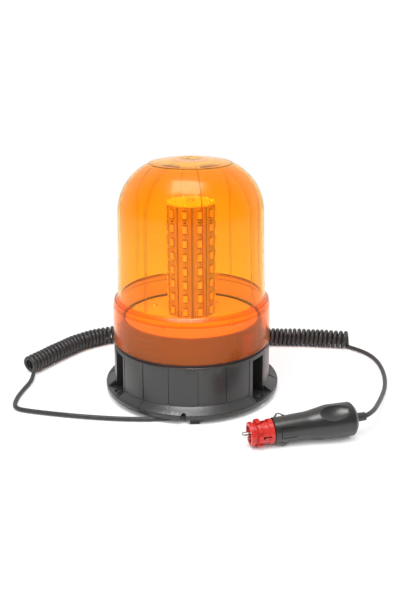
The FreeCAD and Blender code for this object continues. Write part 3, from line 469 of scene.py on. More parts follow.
def rounder_copy(node, body, material, inner=58.0 * MM):
    """Copy of a turned CAD piece; its coarse facets outside a radius are split to lie on its true round."""
    build = bmesh.new()
    build.from_mesh(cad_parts[node].data)
    build.transform(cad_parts[node].matrix_world)
    bmesh.ops.remove_doubles(build, verts=build.verts, dist=1e-6)
    bmesh.ops.triangulate(build, faces=build.faces)
    build.verts.index_update()
    polar = [(math.atan2(spot.y, spot.x), math.hypot(spot.x, spot.y), spot.z)
             for spot in (vertex.co for vertex in build.verts)]
    triangles = [tuple(vertex.index for vertex in face.verts) for face in build.faces]
    build.free()
    for _ in range(MOST_SPLITS):
        known = {}

        def middle(first, second):
            key = (min(first, second), max(first, second))
            if key not in known:
                (angle, radius, height), (turn, reach, level) = polar[key[0]], polar[key[1]]
                span = turn_between(turn, angle)
                known[key] = None
                if min(radius, reach) > inner and abs(span) > WIDEST_FACET:
                    known[key] = len(polar)
                    polar.append((angle + span / 2.0, (radius + reach) / 2.0, (height + level) / 2.0))
            return known[key]

        finer = []
        for a, b, c in triangles:
            finer += split_triangle((a, b, c), [middle(a, b), middle(b, c), middle(c, a)])
        if len(finer) == len(triangles):
            break
        triangles = finer
    mesh = bpy.data.meshes.new(node + "_round")
    mesh.from_pydata([around(radius, angle, height) for angle, radius, height in polar], [], triangles)
    mesh.update()
    smooth(mesh, 28.0)
    piece = new_object(node + "_round", mesh, [material])
    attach(piece, body)
    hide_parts(node)
    return piece


# ---- settings
class BeaconSettings(bpy.types.PropertyGroup):
    """Sizes and colours that a user would change."""
    plastic_colour: bpy.props.FloatVectorProperty(
        name="Base Plastic", description="Colour of the black mouldings", subtype="COLOR", size=3,
        default=(0.017, 0.017, 0.0165), min=0.0, max=1.0)
    lens_tint: bpy.props.FloatVectorProperty(
        name="Lens Tint", description="Colour seen through one wall of the lens", subtype="COLOR", size=3,
        default=(1.0, 0.63, 0.04), min=0.0, max=1.0)
    skirt_tint: bpy.props.FloatVectorProperty(
        name="Skirt Tint", description="Colour seen through the thicker lower part of the lens",
        subtype="COLOR", size=3, default=(1.0, 0.36, 0.035), min=0.0, max=1.0)
    lamp_tint: bpy.props.FloatVectorProperty(
        name="Inside Light", description="Colour of light that has come in through one face of the lens",
        subtype="COLOR", size=3, default=(1.0, 0.22, 0.006), min=0.0, max=1.0)
    sleeve_colour: bpy.props.FloatVectorProperty(
        name="Plug Sleeve", description="Colour of the push-on sleeve", subtype="COLOR", size=3,
        default=(0.42, 0.016, 0.011), min=0.0, max=1.0)
    lens_wall: bpy.props.FloatProperty(
        name="Lens Wall", description="Thickness of the lens", default=2.4 * MM, unit="LENGTH")
    lens_columns: bpy.props.IntProperty(
        name="Lens Columns", description="Faces round the lens", default=216, min=48, max=720)
    lamp_rows: bpy.props.IntProperty(
        name="Lamp Rows", description="Lamps on each strip", default=8, min=1, max=20)
    lamp_pitch: bpy.props.FloatProperty(
        name="Lamp Pitch", description="Distance from lamp to lamp", default=12.45 * MM, unit="LENGTH")
    cord_diameter: bpy.props.FloatProperty(
        name="Cord Diameter", description="Outside of the cord's sheath", default=4.0 * MM, unit="LENGTH")
    coil_pitch: bpy.props.FloatProperty(
        name="Coil Pitch", description="Distance from turn to turn of the coil",
        default=4.75 * MM, unit="LENGTH")
    coil_radius: bpy.props.FloatProperty(
        name="Coil Radius", description="Coil's axis to the middle of the cord",
        default=7.15 * MM, unit="LENGTH")


def settings():
    """The scene's beacon settings."""
    return bpy.context.scene.beacon


# ---- stage
def look_from(place, heading, tilt, roll):
    """Camera matrix from its place and its turn, in degrees; heading 0 looks along +Y."""
    turn = Matrix.Rotation(math.radians(heading), 4, "Z") @ Matrix.Rotation(math.radians(90.0 - tilt), 4, "X")
    return Matrix.Translation(place) @ turn @ Matrix.Rotation(math.radians(roll), 4, "Z")


def soft_lamp(name, place, aim, size, power):
    """Rectangular soft light."""
    data = bpy.data.lights.new(name, "AREA")
    data.shape = "RECTANGLE"
    data.size, data.size_y = size
    data.energy = power
    lamp = bpy.data.objects.new(name, data)
    lamp.location = place
    lamp.rotation_euler = (Vector(aim) - Vector(place)).to_track_quat("-Z", "Y").to_euler()
    bpy.context.scene.collection.objects.link(lamp)
    return lamp


class BEACON_OT_stage(bpy.types.Operator):
    """White floor, soft studio light and the camera"""
    bl_idname = "beacon.stage"
    bl_label = "Stage"

    floor_reach = 4.0
    floor_drop = 0.2 * MM
    contact_reach = 25.0 * MM
    near_glow = 0.80
    glow_from = 0.26
    glow_over = 0.30
    sky_light = 0.30
    bright_behind = 0.80
    dim_in_front = 0.15
    # name, place, aim, size, power, whether reflections show it
    lights = (
        ("overhead", (-0.06, -0.34, 1.25), (0.0, 0.0, 0.10), (0.75, 0.6), 16.0, True),
        ("front_left", (-1.0, -1.2, 1.1), (0.0, 0.0, 0.12), (1.2, 1.6), 20.0, False),
        ("front_right", (1.2, -0.9, 0.9), (0.0, 0.0, 0.12), (1.0, 1.5), 12.0, False))
    focal_length = 44.69
    camera_place = (0.0613, -0.6371, 0.3065)
    camera_turn = (4.77, 19.19, -0.2)

    def execute(self, context):
        scene = context.scene
        scene.view_settings.view_transform = "Standard"
        self.floor()
        self.sky(scene)
        for name, place, aim, size, power, reflected in self.lights:
            soft_lamp(name, place, aim, size, power).visible_glossy = reflected
        camera = bpy.data.cameras.new("camera")
        camera.lens = self.focal_length
        camera.sensor_width = 36.0
        camera.clip_start = 0.01
        viewer = bpy.data.objects.new("camera", camera)
        scene.collection.objects.link(viewer)
        viewer.matrix_world = look_from(Vector(self.camera_place), *self.camera_turn)
        scene.camera = viewer
        return {"FINISHED"}

    def floor(self):
        """Pale floor that looks white where it is open and keeps the shadow where pieces touch it."""
        reach = self.floor_reach
        mesh = bpy.data.meshes.new("floor")
        mesh.from_pydata([(-reach, -reach, 0), (reach, -reach, 0), (reach, reach, 0), (-reach, reach, 0)],
                         [], [(0, 1, 2, 3)])
        paint = Finish("white_floor")
        paint.set(Base_Color=(0.95, 0.95, 0.95, 1.0), Roughness=0.9, Specular_IOR_Level=0.1)
        glow = paint.tree.nodes.new("ShaderNodeEmission")
        glow.inputs[0].default_value = (1.0, 1.0, 1.0, 1.0)
        glow.inputs[1].default_value = 1.0
        straight, mirrored, through = [
            paint.node("ShaderNodeLightPath", output=key)
            for key in ("Is Camera Ray", "Is Glossy Ray", "Is Transmission Ray")]
        seen = (straight + mirrored * 0.3 + through).least(1.0)
        openness = paint.node("ShaderNodeAmbientOcclusion", {"samples": 8},
                              {"Distance": self.contact_reach}, "AO")
        openness = (openness * 2.4 - 0.5).least(1.0).most(0.0)
        distance = paint.node("ShaderNodeVectorMath", {"operation": "LENGTH"}, {0: paint.place()}, "Value")
        away = ((distance - self.glow_from) / self.glow_over).most(0.0)
        share = (self.near_glow + (1.0 - self.near_glow) * away).least(1.0)
        paint.give_way(seen * openness * share, glow)
        floor = new_object("floor", mesh, [paint.material])
        floor.location = (0.0, 0.0, -self.floor_drop)

    def sky(self, scene):
        """Even white surround; reflections see it bright behind the object and dim in front."""
        world = bpy.data.worlds.new("studio")
        world.use_nodes = True
        tree = world.node_tree
        tree.nodes.clear()
        output = tree.nodes.new("ShaderNodeOutputWorld")
        light = tree.nodes.new("ShaderNodeBackground")
        light.inputs[0].default_value = (1.0, 1.0, 1.0, 1.0)
        path = tree.nodes.new("ShaderNodeLightPath")
        seen = Value(tree, path.outputs["Is Camera Ray"])
        seen = (seen + Value(tree, path.outputs["Is Transmission Ray"])).least(1.0)
        reflected = Value(tree, path.outputs["Is Glossy Ray"]) * (1.0 - seen)
        split = tree.nodes.new("ShaderNodeSeparateXYZ")
        tree.links.new(tree.nodes.new("ShaderNodeTexCoord").outputs["Generated"], split.inputs[0])
        behind = ((Value(tree, split.outputs["Y"]) + 0.05) * 2.2).most(0.0).least(1.0)
        strength = (self.sky_light + (1.0 - self.sky_light) * seen
                    + reflected * (behind * self.bright_behind - self.dim_in_front))
        tree.links.new(strength.socket, light.inputs[1])
        tree.links.new(light.outputs[0], output.inputs[0])
        scene.world = world


# ---- base
class BEACON_OT_base(bpy.types.Operator):
    """Black mouldings, rubber and magnet of the base"""
    bl_idname = "beacon.base"
    bl_label = "Base"

    def execute(self, context):
        black = moulded_plastic("base_black", settings().plastic_colour, 0.34, coat=0.3)
        rounder_copy("base_housing", "base", black)
        dress(black, "bottom_cover")
        rubber = plain_rubber("black_rubber", (0.014, 0.014, 0.014))
        rounder_copy("lens_gasket", "gasket", rubber)
        dress(rubber, "rubber_feet", "cable_grommet", "magnet_pad")
        dress(bright_metal("plated_cup", (0.56, 0.57, 0.58), 0.32), "magnet_cup")
        dress(moulded_plastic("dark_ferrite", (0.05, 0.05, 0.055), 0.6, 900.0, 0.00006), "magnet_ring")
        return {"FINISHED"}


# ---- lens
class BEACON_OT_lens(bpy.types.Operator):
    """Amber lens with its stepped crown, upright ribs and lugs"""
    bl_idname = "beacon.lens"
    bl_label = "Lens"

    skirt_foot = 71.5 * MM
    skirt_top = (70.6 * MM, 84.0 * MM)
    collar_top = (69.4 * MM, 88.6 * MM)
    dome_foot = (66.2 * MM, 91.5 * MM)
    dome_middle = (64.8 * MM, 128.0 * MM)
    shoulder = (63.7 * MM, 166.0 * MM)
    shoulder_radius = 46.0 * MM
    crown_radius = 36.0 * MM
    crown_step = 0.6 * MM
    crown_rise = 3.0 * MM
    dimple_radius = 13.0 * MM
    dimple_depth = 1.3 * MM
    rib_count = 8
    rib_first = 14.0
    rib_width = 0.7 * MM
    rib_depth = 0.6 * MM
    corner_radii = (0.7 * MM, 0.6 * MM, 1.4 * MM, 60 * MM)
    # how far each inner corner lies below its outer one, as a share of the wall
    inner_drops = (0.0, 0.3, 0.5, 0.4, 0.0, 0.0)
    shoulder_steps = 24
    crown_steps = 8
    dimple_steps = 6
    lug_azimuths = (-68.0, 52.0, 172.0)
    lug_span = 9.0
    lug_face = 64.5 * MM
    lug_gap = 1.0 * MM
    lug_levels = (0.6 * MM, 17.5 * MM)
    tab_span = 5.0
    tab_shift = -2.0
    tab_face = 63.5 * MM
    tab_levels = (62.6 * MM, 65.6 * MM)
    gusset_azimuth = 38.0
    gusset_half_width = 3.6 * MM
    gusset_rise = 0.3 * MM
    gusset_height = 8.4 * MM
    gusset_gap = 0.55 * MM
    gusset_depth = 1.8 * MM

    def execute(self, context):
        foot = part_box("lens")[0][2]
        wall = settings().lens_wall
        outside = self.side(0.0, foot) + self.crown()
        top = outside[-1][1] - wall
        inner = self.side(wall, foot)
        inner_crown = [(inner[-1][0] * share, top + (inner[-1][1] - top) * share ** 2)
                       for share in (0.8, 0.6, 0.4, 0.2, 0.0)]
        inside = list(reversed(inner + [Vector(point) for point in inner_crown]))
        loop = [tuple(point) for point in outside + inside]
        columns, ribbed = self.columns()
        first_rib_row = len(outside) + len(inner_crown)
        low = self.dome_foot[1]
        normals = self.inward(loop)

        def offset(row, column, radius, height):
            if ribbed[column] and row >= first_rib_row and height > low:
                return radius + normals[row][0] * self.rib_depth, height + normals[row][1] * self.rib_depth
            return radius, height

        mesh = spun_mesh("lens_shell", loop, columns, offset)
        # heights of the painted shade bands at the lens's corners
        edges = ((self.skirt_top[1], 0.7 * MM), (self.collar_top[1] + 0.4 * MM, 0.8 * MM), (foot, 0.8 * MM))
        tint = settings().lens_tint
        lamp_tint = settings().lamp_tint
        dome_glass = amber_glass("amber_dome", tint, lamp_tint, 0.015, 0.02, edges)
        # painted shade: the ribs take a darker copy of the dome's amber
        rib_shade_tint = (tint[0] * 0.72, tint[1] * 0.34, tint[2] * 0.3)
        rib_glass = amber_glass("amber_rib", rib_shade_tint, lamp_tint, 0.05, 0.05, edges)
        glass = amber_glass("amber_skirt", settings().skirt_tint, lamp_tint, 0.015, 0.09, edges)
        for face in mesh.polygons:
            if face.center.z < low:
                face.material_index = 2
            elif face.center.z > low + 1.0 * MM and self.on_rib(math.atan2(face.center.y, face.center.x)):
                face.material_index = 1
        shell = new_object("lens_shell", mesh, [dome_glass, rib_glass, glass])
        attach(shell, "lens")
        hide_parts("lens")
        # painted shade: the lugs take a darker copy of the amber
        lug_glass = amber_glass("amber_lug", (0.55, 0.07, 0.01), lamp_tint, 0.05, 0.1, edges)
        dark_glass = amber_glass("amber_gusset", (0.08, 0.008, 0.004), lamp_tint, 0.05, 0.3, edges)
        self.lugs([lug_glass, dark_glass], foot, wall)
        return {"FINISHED"}

    def side(self, inset, foot):
        """Profile from the lower edge to the end of the round shoulder, set in by a wall."""
        points = [(self.skirt_foot, foot), self.skirt_top, self.collar_top, self.dome_foot,
                  self.dome_middle, self.shoulder]
        moved = [(radius - inset, height - inset * drop)
                 for (radius, height), drop in zip(points, self.inner_drops)]
        first_corner = 1
        if inset == 0.0:
            moved.insert(0, (self.skirt_foot - 0.5 * MM, foot))
            moved[1] = (self.skirt_foot, foot + 0.5 * MM)
            first_corner = 2
        path = rounded(moved, dict(enumerate(self.corner_radii, first_corner)))
        centre, end = self.shoulder_arc()
        reach = self.shoulder_radius - inset
        for step in range(1, self.shoulder_steps + 1):
            angle = end * step / self.shoulder_steps
            path.append(Vector((centre + reach * math.cos(angle),
                                self.shoulder[1] + reach * math.sin(angle))))
        return path

    def shoulder_arc(self):
        """Radius at which the shoulder's round is centred, and the angle at which the crown ends it."""
        centre = self.shoulder[0] - self.shoulder_radius
        return centre, math.acos((self.crown_radius - centre) / self.shoulder_radius)

    def crown(self):
        """Raised round crown with a shallow dimple in its middle, from its rim to the axis."""
        end = self.shoulder_arc()[1]
        rim = self.shoulder[1] + self.shoulder_radius * math.sin(end)
        path = [Vector((self.crown_radius - 0.3 * MM, rim + self.crown_step))]
        for step in range(1, self.crown_steps + 1):
            share = step / self.crown_steps
            radius = self.crown_radius + (self.dimple_radius - self.crown_radius) * share
            path.append(Vector((radius, rim + self.crown_step + self.crown_rise * (1 - (1 - share) ** 1.6))))
        top = path[-1].y
        for step in range(1, self.dimple_steps + 1):
            share = step / self.dimple_steps
            path.append(Vector((self.dimple_radius * (1 - share),
                                top - self.dimple_depth * math.sin(share * math.pi / 2.0))))
        path[-1].x = 0.0
        return path

    def rib_middles(self):
        """Angle of each rib about the axis."""
        return [math.radians(self.rib_first - 90.0 + index * 360.0 / self.rib_count) % math.tau
                for index in range(self.rib_count)]

    def on_rib(self, angle):
        """Whether an angle about the axis lies on a rib."""
        return any(abs(turn_between(angle, middle)) < self.half_rib() for middle in self.rib_middles())

    def half_rib(self):
        """Half a rib's width as an angle about the axis."""
        return self.rib_width / 2.0 / self.dome_middle[0]

    def columns(self):
        """Angles round the lens, closer together at each rib, and which of them lie on a rib."""
        count = settings().lens_columns
        half = self.half_rib()
        middles = self.rib_middles()
        angles = []
        for index in range(count):
            angle = math.tau * index / count
            if all(abs(turn_between(angle, middle)) > 2.2 * half for middle in middles):
                angles.append((angle, False))
        for middle in middles:
            angles += [((middle + shift) % math.tau, abs(shift) < half * 1.1)
                       for shift in (-1.5 * half, -half, half, 1.5 * half)]
        angles.sort()
        return [angle for angle, _ in angles], [rib for _, rib in angles]

    @staticmethod
    def inward(loop):
        """Direction into the hollow at each point of the loop."""
        directions = []
        for row, point in enumerate(loop):
            before = Vector(loop[row - 1])
            after = Vector(loop[(row + 1) % len(loop)])
            along = (after - before).normalized()
            directions.append((along.y, -along.x) if along.y < 0 else (-abs(along.y), -abs(along.x)))
        return directions

    def lugs(self, glasses, foot, wall):
        """Lugs inside the skirt with the bayonet tab, and one arrow-shaped gusset."""
        build = bmesh.new()
        outer = self.skirt_foot - wall - self.lug_gap
        for azimuth in self.lug_azimuths:
            self.block(build, azimuth, self.lug_span, self.lug_face, outer,
                       *[foot + level for level in self.lug_levels])
            self.block(build, azimuth + self.tab_shift, self.tab_span, self.tab_face, self.lug_face,
                       *self.tab_levels)
        inner = self.skirt_foot - wall - self.gusset_gap
        corners = []
        turn = math.radians(self.gusset_azimuth - 90.0)
        sideways = Vector((-math.sin(turn), math.cos(turn), 0.0))
        half = self.gusset_half_width
        for radius in (inner, inner - self.gusset_depth):
            for across, up in ((-half, 0.0), (half, 0.0), (0.0, self.gusset_height)):
                place = Vector(around(radius, turn, foot + self.gusset_rise + up))
                corners.append(build.verts.new(place + sideways * across))
        gusset = [build.faces.new((corners[a], corners[b], corners[b + 3], corners[a + 3]))
                  for a, b in ((0, 1), (1, 2), (2, 0))]
        gusset += [build.faces.new(corners[:3]), build.faces.new(corners[3:])]
        for face in gusset:
            face.material_index = 1
        piece = new_object("lens_lugs", closed_mesh(build, "lens_lugs"), glasses)
        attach(piece, "lens")

    @staticmethod
    def block(build, azimuth, span, inner, outer, low, high):
        """Curved block inside the skirt."""
        steps = 4
        rings = []
        for step in range(steps + 1):
            turn = math.radians(azimuth - span / 2.0 + span * step / steps - 90.0)
            rings.append([build.verts.new(around(radius, turn, height)) for radius, height in (
                (inner, low), (outer, low), (outer, high), (inner, high))])
        bridge(build, rings)
        build.faces.new(rings[0])
        build.faces.new(rings[-1])


# ---- tower
class BEACON_OT_tower(bpy.types.Operator):
    """Light strips, lamps, top board and deck"""
    bl_idname = "beacon.tower"
    bl_label = "Light Tower"

    strip_count = 10
    first_strip = 26.0
    foot_pad_rise = 1.6 * MM

    def execute(self, context):
        # painted shade: the strips' white board and its tracks are painted a dark tan for the little light
        # inside the lens
        shaded_strip_board = circuit_board("shaded_strip_board", (0.42, 0.36, 0.29), (0.34, 0.28, 0.22), 120.0)
        dress(shaded_strip_board, *["light_strip_%02d" % (index + 1) for index in range(self.strip_count)])
        dress(circuit_board("top_board", (0.88, 0.87, 0.84), (0.80, 0.78, 0.72), 120.0), "tower_top_board")
        white = moulded_plastic("white_moulding", (0.63, 0.62, 0.59), 0.45, 1200.0, 0.00002)
        rounder_copy("deck_plate", "base", white, 50.0 * MM)
        dress(white, "tower_foot_ring")
        dress(moulded_plastic("former_grey", (0.22, 0.22, 0.21), 0.5, 1200.0, 0.00002), "tower_former")
        solder = bright_metal("solder", (0.78, 0.78, 0.80), 0.22)
        dress(solder, "top_solder_joints")
        self.lamps(solder)
        return {"FINISHED"}

    def lamps(self, solder):
        """Every lamp, its series resistors and the pads at each strip's foot, set out by one node tree."""
        casing = moulded_plastic("lamp_frame", (0.58, 0.52, 0.44), 0.35, 2500.0, 0.00001)
        resin = lamp_resin("lamp_resin", (0.88, 0.68, 0.34))
        terminal = moulded_plastic("lamp_terminal", (0.13, 0.11, 0.09), 0.45, 2500.0, 0.00001)
        low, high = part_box("light_strip_03")
        middle = (low[2] + high[2]) / 2.0
        pitch = settings().lamp_pitch
        tree, names = self.pattern_tree()
        lamp = self.one_lamp([casing, resin, terminal])
        self.set_out(tree, names, "lamp_array", lamp, settings().lamp_rows, pitch, middle,
                     "lamp_body", "lamps")
        dark = moulded_plastic("resistor_black", (0.03, 0.03, 0.03), 0.4, 3200.0, 0.00001)
        resistor = self.blocks("one_resistor", [dark, solder], [
            ((0.0, 0.0), (1.3, 1.7), 0.6, 0), ((0.0, 1.15), (1.5, 0.7), 0.5, 1),
            ((0.0, -1.15), (1.5, 0.7), 0.5, 1)])
        gap_height = middle + (settings().lamp_rows / 2.0 - 1.0) * pitch
        self.set_out(tree, names, "resistor_array", resistor, 1, pitch, gap_height, "chip_black", None)
        pads = self.blocks("one_foot", [terminal, solder], [
            ((-4.0, up), (1.1, 1.6), 0.15, 0) for up in (0.0, 2.6, 5.2)] + [((3.6, 0.4), (1.8, 1.2), 0.4, 1)])
        self.set_out(tree, names, "foot_pads", pads, 1, pitch, low[2] + self.foot_pad_rise, "solder", None)

    @staticmethod
    def pattern_tree():
        """Node tree that sets copies of a piece out on the strips, and the keys of its inputs."""
        tree = bpy.data.node_groups.new("lamps_on_strips", "GeometryNodeTree")
        face = tree.interface
        face.new_socket("Geometry", in_out="INPUT", socket_type="NodeSocketGeometry")
        names = {}
        for title, kind in (("Piece", "Object"), ("Rows", "Int"), ("Strips", "Int"), ("Pitch", "Float"),
                            ("Face Distance", "Float"), ("Middle Height", "Float"), ("First Strip", "Float")):
            names[title] = face.new_socket(
                title, in_out="INPUT", socket_type="NodeSocket" + kind).identifier
        face.new_socket("Geometry", in_out="OUTPUT", socket_type="NodeSocketGeometry")
        nodes, links = tree.nodes, tree.links
        enter = nodes.new("NodeGroupInput")
        leave = nodes.new("NodeGroupOutput")
        rows, strips, pitch, distance, middle, first = [
            Value(tree, enter.outputs[title])
            for title in ("Rows", "Strips", "Pitch", "Face Distance", "Middle Height", "First Strip")]
        index = Value(tree, nodes.new("GeometryNodeInputIndex").outputs[0])

        def add(kind, **inputs):
            step = nodes.new(kind)
            for key, source in inputs.items():
                links.new(getattr(source, "socket", source), step.inputs[key])
            return step.outputs

        angle = first + (index / rows).of("FLOOR") * (math.tau / strips)
        height = middle + (index % rows - (rows - 1.0) / 2.0) * pitch
        across = angle.of("SINE") * distance
        along = angle.of("COSINE") * (distance * -1.0)
        place = add("ShaderNodeCombineXYZ", X=across, Y=along, Z=height)[0]
        points = add("GeometryNodePoints", Count=rows * strips, Position=place)[0]
        piece = add("GeometryNodeObjectInfo", Object=enter.outputs["Piece"])["Geometry"]
        spin = add("ShaderNodeCombineXYZ", Z=angle)[0]
        copies = add("GeometryNodeInstanceOnPoints", Points=points, Instance=piece, Rotation=spin)[0]
        links.new(add("GeometryNodeRealizeInstances", Geometry=copies)[0], leave.inputs[0])
        return tree, names

    def set_out(self, tree, names, title, source, rows, pitch, middle, slot, replaced):
        """One piece made of a source's copies in rows on every strip."""
        holder = new_object(title + "_pattern", bpy.data.meshes.new(title + "_pattern"), [])
        modifier = holder.modifiers.new("pattern", "NODES")
        modifier.node_group = tree
        values = {"Piece": source, "Rows": rows, "Strips": self.strip_count, "Pitch": pitch,
                  "Face Distance": self.face_distance(), "Middle Height": middle,
                  "First Strip": math.radians(self.first_strip)}
        for key, value in values.items():
            modifier[names[key]] = value
        piece = new_object(title, read_out(holder, title), [])
        bpy.data.objects.remove(source)
        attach(piece, "base")
        if replaced:
            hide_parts(replaced)

    @staticmethod
    def block(build, middle, size, proud, which):
        """Adds a block that stands on a strip's face: middle and size across and up, in millimetres."""
        corners = bmesh.ops.create_cube(build, size=1.0)["verts"]
        for vertex in corners:
            vertex.co = Vector((middle[0] + vertex.co.x * size[0], (vertex.co.y - 0.5) * proud,
                                middle[1] + vertex.co.z * size[1])) * MM
        for face in {face for vertex in corners for face in vertex.link_faces}:
            face.material_index = which

    def blocks(self, name, materials, parts):
        """Small blocks that stand on a strip's face: (middle, size, height, material)."""
        build = bmesh.new()
        for middle, size, proud, which in parts:
            self.block(build, middle, size, proud, which)
        return new_object(name, closed_mesh(build, name), materials)

    def face_distance(self):
        """From the axis to the outer face of a strip."""
        turn = math.radians(self.first_strip)
        normal = Vector((math.sin(turn), -math.cos(turn)))
        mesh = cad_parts["light_strip_01"].data
        return max(Vector(vertex.co[:2]).dot(normal) for vertex in mesh.vertices)

    def one_lamp(self, materials):
        """A lamp facing -Y: frame with a sunk resin window, a dark outline and a terminal at each end."""
        build = bmesh.new()
        across, tall, proud, lip, chamfer = 4.0, 6.2, 1.5, 0.55, 0.15

        def ring(inset, depth):
            width, height = (across / 2.0 - inset) * MM, (tall / 2.0 - inset) * MM
            return [build.verts.new((x * width, -depth * MM, z * height))
                    for x, z in ((-1, -1), (1, -1), (1, 1), (-1, 1))]

        rings = [ring(0.0, 0.0), ring(0.0, proud - chamfer), ring(chamfer, proud), ring(lip, proud),
                 ring(lip + chamfer, proud - 0.35)]
        bridge(build, rings)
        window = build.faces.new(rings[-1])
        window.material_index = 1
        build.faces.new(list(reversed(rings[0])))
        self.block(build, (0.0, 0.0), (across + 0.9, tall + 0.9), 0.12, 2)
        for end in (-1, 1):
            self.block(build, (0.0, end * (tall / 2.0 + 0.5)), (across - 0.6, 1.0), 0.6, 2)
        return new_object("one_lamp", closed_mesh(build, "one_lamp"), materials)


# ---- inside the base
class BEACON_OT_driver(bpy.types.Operator):
    """Finishes for the driver board, its components and every fastener"""
    bl_idname = "beacon.driver"
    bl_label = "Driver Board"

    def execute(self, context):
        dress(circuit_board("green_board", (0.02, 0.16, 0.06), (0.05, 0.30, 0.11), 260.0), "driver_board")
        dress(bright_metal("zinc_steel", (0.62, 0.62, 0.64), 0.28),
              "board_screws", "deck_screws", "cover_screws", "magnet_bolt", "magnet_nut", "tower_screw",
              "tower_nut", "tower_washer", "terminal_screws", "plug_screw")
        dress(bright_metal("brass_pillar", (0.70, 0.52, 0.24), 0.3), "board_pillars")
        dress(banded_can("sleeved_can", (0.02, 0.03, 0.10)), "capacitors")
        dress(wound_copper("copper_winding", (0.62, 0.28, 0.09)), "choke_coil")
        dress(moulded_plastic("chip_black", (0.02, 0.02, 0.021), 0.5, 3200.0, 0.00001),
              "controller_chip", "power_regulator")
        dress(bright_metal("drawn_aluminium", (0.62, 0.63, 0.65), 0.38), "heat_sink")
        dress(moulded_plastic("terminal_green", (0.02, 0.24, 0.07), 0.38), "terminal_block")
        dress(moulded_plastic("red_wire", (0.42, 0.02, 0.015), 0.35), "supply_wires")
        return {"FINISHED"}


# ---- plug
class BEACON_OT_plug(bpy.types.Operator):
    """Finishes for the vehicle plug"""
    bl_idname = "beacon.plug"
    bl_label = "Plug"

    def execute(self, context):
        dress(moulded_plastic("plug_black", (0.013, 0.013, 0.0125), 0.30, 1500.0, 0.00003, 0.65),
              "plug_shell_front", "plug_shell_back", "plug_nose")
        dress(moulded_plastic("sleeve_red", settings().sleeve_colour, 0.28, 1800.0, 0.00001), "plug_adapter")
        dress(bright_metal("nickel", (0.78, 0.77, 0.74), 0.16),
              "plug_tip", "plug_contact_upper", "plug_contact_lower", "plug_spring")
        dress(moulded_plastic("fuse_ceramic", (0.78, 0.77, 0.72), 0.3), "plug_fuse")
        dress(sheathed_cord("relief_black", (0.026, 0.026, 0.026)), "plug_relief")
        return {"FINISHED"}


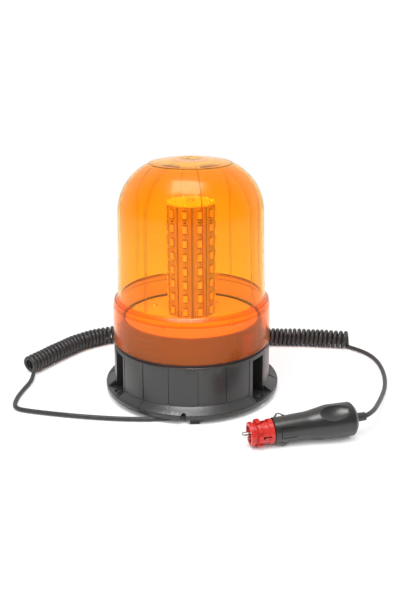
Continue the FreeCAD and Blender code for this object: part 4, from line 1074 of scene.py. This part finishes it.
# ---- cord
class BEACON_OT_cord(bpy.types.Operator):
    """Cord from the base, through its coil, to the plug"""
    bl_idname = "beacon.cord"
    bl_label = "Cord"

    base_lead = [
        (0.5, -53.6, 4.9), (0.0, -61.5, 3.4), (-7.4, -70.3, 2.2), (-23.3, -74.9, 2.1),
        (-51.3, -76.7, 2.1), (-83.1, -75.3, 2.1), (-110.9, -72.2, 2.1), (-136.6, -68.4, 2.1),
        (-151.5, -64.4, 2.1), (-155.1, -46.5, 2.1), (-154.3, -26.4, 2.1), (-152.1, -8.3, 2.3)]
    coil_axis = [
        (-160.0, 10.5, 9.3), (-145.5, 40.6, 9.3), (-121.0, 82.8, 9.3), (-80.5, 106.0, 9.3),
        (-28.7, 111.6, 9.3), (21.5, 106.0, 9.3), (69.8, 102.8, 9.3), (114.2, 105.5, 9.3),
        (154.8, 100.7, 9.3)]
    plug_lead = [
        (163.6, 90.5, 2.8), (173.5, 81.9, 2.1), (180.3, 66.1, 2.1),
        (183.2, 43.7, 2.1), (182.1, 17.2, 2.2), (177.4, -7.0, 3.8), (170.4, -32.0, 7.4),
        (163.6, -54.6, 11.6), (158.4, -70.0, 14.6), (150.6, -81.8, 15.8), (145.3, -83.4, 15.6),
        (132.2, -87.4, 14.9)]
    first_turn = -35.0
    last_turn = -70.0
    points_per_turn = 12
    slow_drift = 0.0016
    quick_drift = 0.0009
    reach_drift = 0.012

    def execute(self, context):
        route = [Vector(point) * MM for point in self.base_lead]
        route += self.helix()
        route += [Vector(point) * MM for point in self.plug_lead]
        radius = settings().cord_diameter / 2.0
        curve = self.spline("cord", route, 3)
        curve.bevel_depth = radius
        curve.bevel_resolution = 3
        curve.use_fill_caps = True
        piece = new_object("cord", curve, [sheathed_cord("cord_black", (0.024, 0.024, 0.024))])
        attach(piece, "base")
        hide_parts("base_lead", "coil_cord", "plug_lead", "plug_cord_end")
        self.real_length(route)
        return {"FINISHED"}

    @staticmethod
    def spline(name, route, resolution):
        """Curve of one open smooth spline with these control points."""
        curve = bpy.data.curves.new(name, "CURVE")
        curve.dimensions = "3D"
        curve.resolution_u = resolution
        line = curve.splines.new("NURBS")
        line.points.add(len(route) - 1)
        for point, place in zip(line.points, route):
            point.co = (place.x, place.y, place.z, 1.0)
        line.order_u = 3
        line.use_endpoint_u = True
        return curve

    def traced(self, route):
        """Points read from a bare spline."""
        mesh = read_out(new_object("trace", self.spline("trace", route, 24), []), "trace")
        points = [vertex.co.copy() for vertex in mesh.vertices]
        bpy.data.meshes.remove(mesh)
        return points

    def helix(self):
        """Turns of the coil round its axis, each a little different in reach and pitch."""
        axis = self.traced([Vector(point) * MM for point in self.coil_axis])
        distance = [0.0]
        for here, there in zip(axis, axis[1:]):
            distance.append(distance[-1] + (there - here).length)
        total = distance[-1]
        turns = round(total / settings().coil_pitch) + (self.last_turn - self.first_turn) / 360.0
        count = int(turns * self.points_per_turn)
        points = []
        segment = 0
        for index in range(count + 1):
            share = index / count
            run = (share + self.slow_drift * math.sin(share * 19.0)
                   + self.quick_drift * math.sin(share * 57.0 + 1.0))
            run = min(max(run, 0.0), 1.0) * total
            while segment < len(axis) - 2 and distance[segment + 1] < run:
                segment += 1
            while segment > 0 and distance[segment] > run:
                segment -= 1
            ahead = axis[segment + 1] - axis[segment]
            part = (run - distance[segment]) / max(distance[segment + 1] - distance[segment], 1e-9)
            centre = axis[segment] + ahead * part
            side = ahead.normalized().cross(Vector((0.0, 0.0, 1.0))).normalized()
            turn = math.radians(self.first_turn + share * turns * 360.0)
            reach = settings().coil_radius * (1.0 + self.reach_drift * math.sin(share * 83.0))
            points.append(centre + side * math.cos(turn) * reach
                          + Vector((0.0, 0.0, math.sin(turn) * reach)))
        return points

    def real_length(self, route):
        """Length along the finished spline."""
        points = self.traced(route)
        return sum((there - here).length for here, there in zip(points, points[1:]))


# ---- panel and registration
OPERATORS = (BEACON_OT_stage, BEACON_OT_base, BEACON_OT_lens, BEACON_OT_tower, BEACON_OT_driver,
             BEACON_OT_plug, BEACON_OT_cord)


class BEACON_PT_panel(bpy.types.Panel):
    """Lists the pieces and the settings"""
    bl_label = "Warning Beacon"
    bl_idname = "BEACON_PT_panel"
    bl_space_type = "VIEW_3D"
    bl_region_type = "UI"
    bl_category = "Beacon"

    def draw(self, context):
        for operator in OPERATORS:
            self.layout.operator(operator.bl_idname)
        for key in BeaconSettings.__annotations__:
            self.layout.prop(context.scene.beacon, key)


CLASSES = (BeaconSettings,) + OPERATORS + (BEACON_PT_panel,)


def register():
    """Adds the classes and the settings to Blender."""
    for item in CLASSES:
        bpy.utils.register_class(item)
    bpy.types.Scene.beacon = bpy.props.PointerProperty(type=BeaconSettings)


def unregister():
    """Removes them again."""
    del bpy.types.Scene.beacon
    for item in reversed(CLASSES):
        bpy.utils.unregister_class(item)


def main():
    """Builds everything in order."""
    register()
    for operator in OPERATORS:
        group, name = operator.bl_idname.split(".")
        getattr(getattr(bpy.ops, group), name)()


if __name__ == "__main__":
    main()
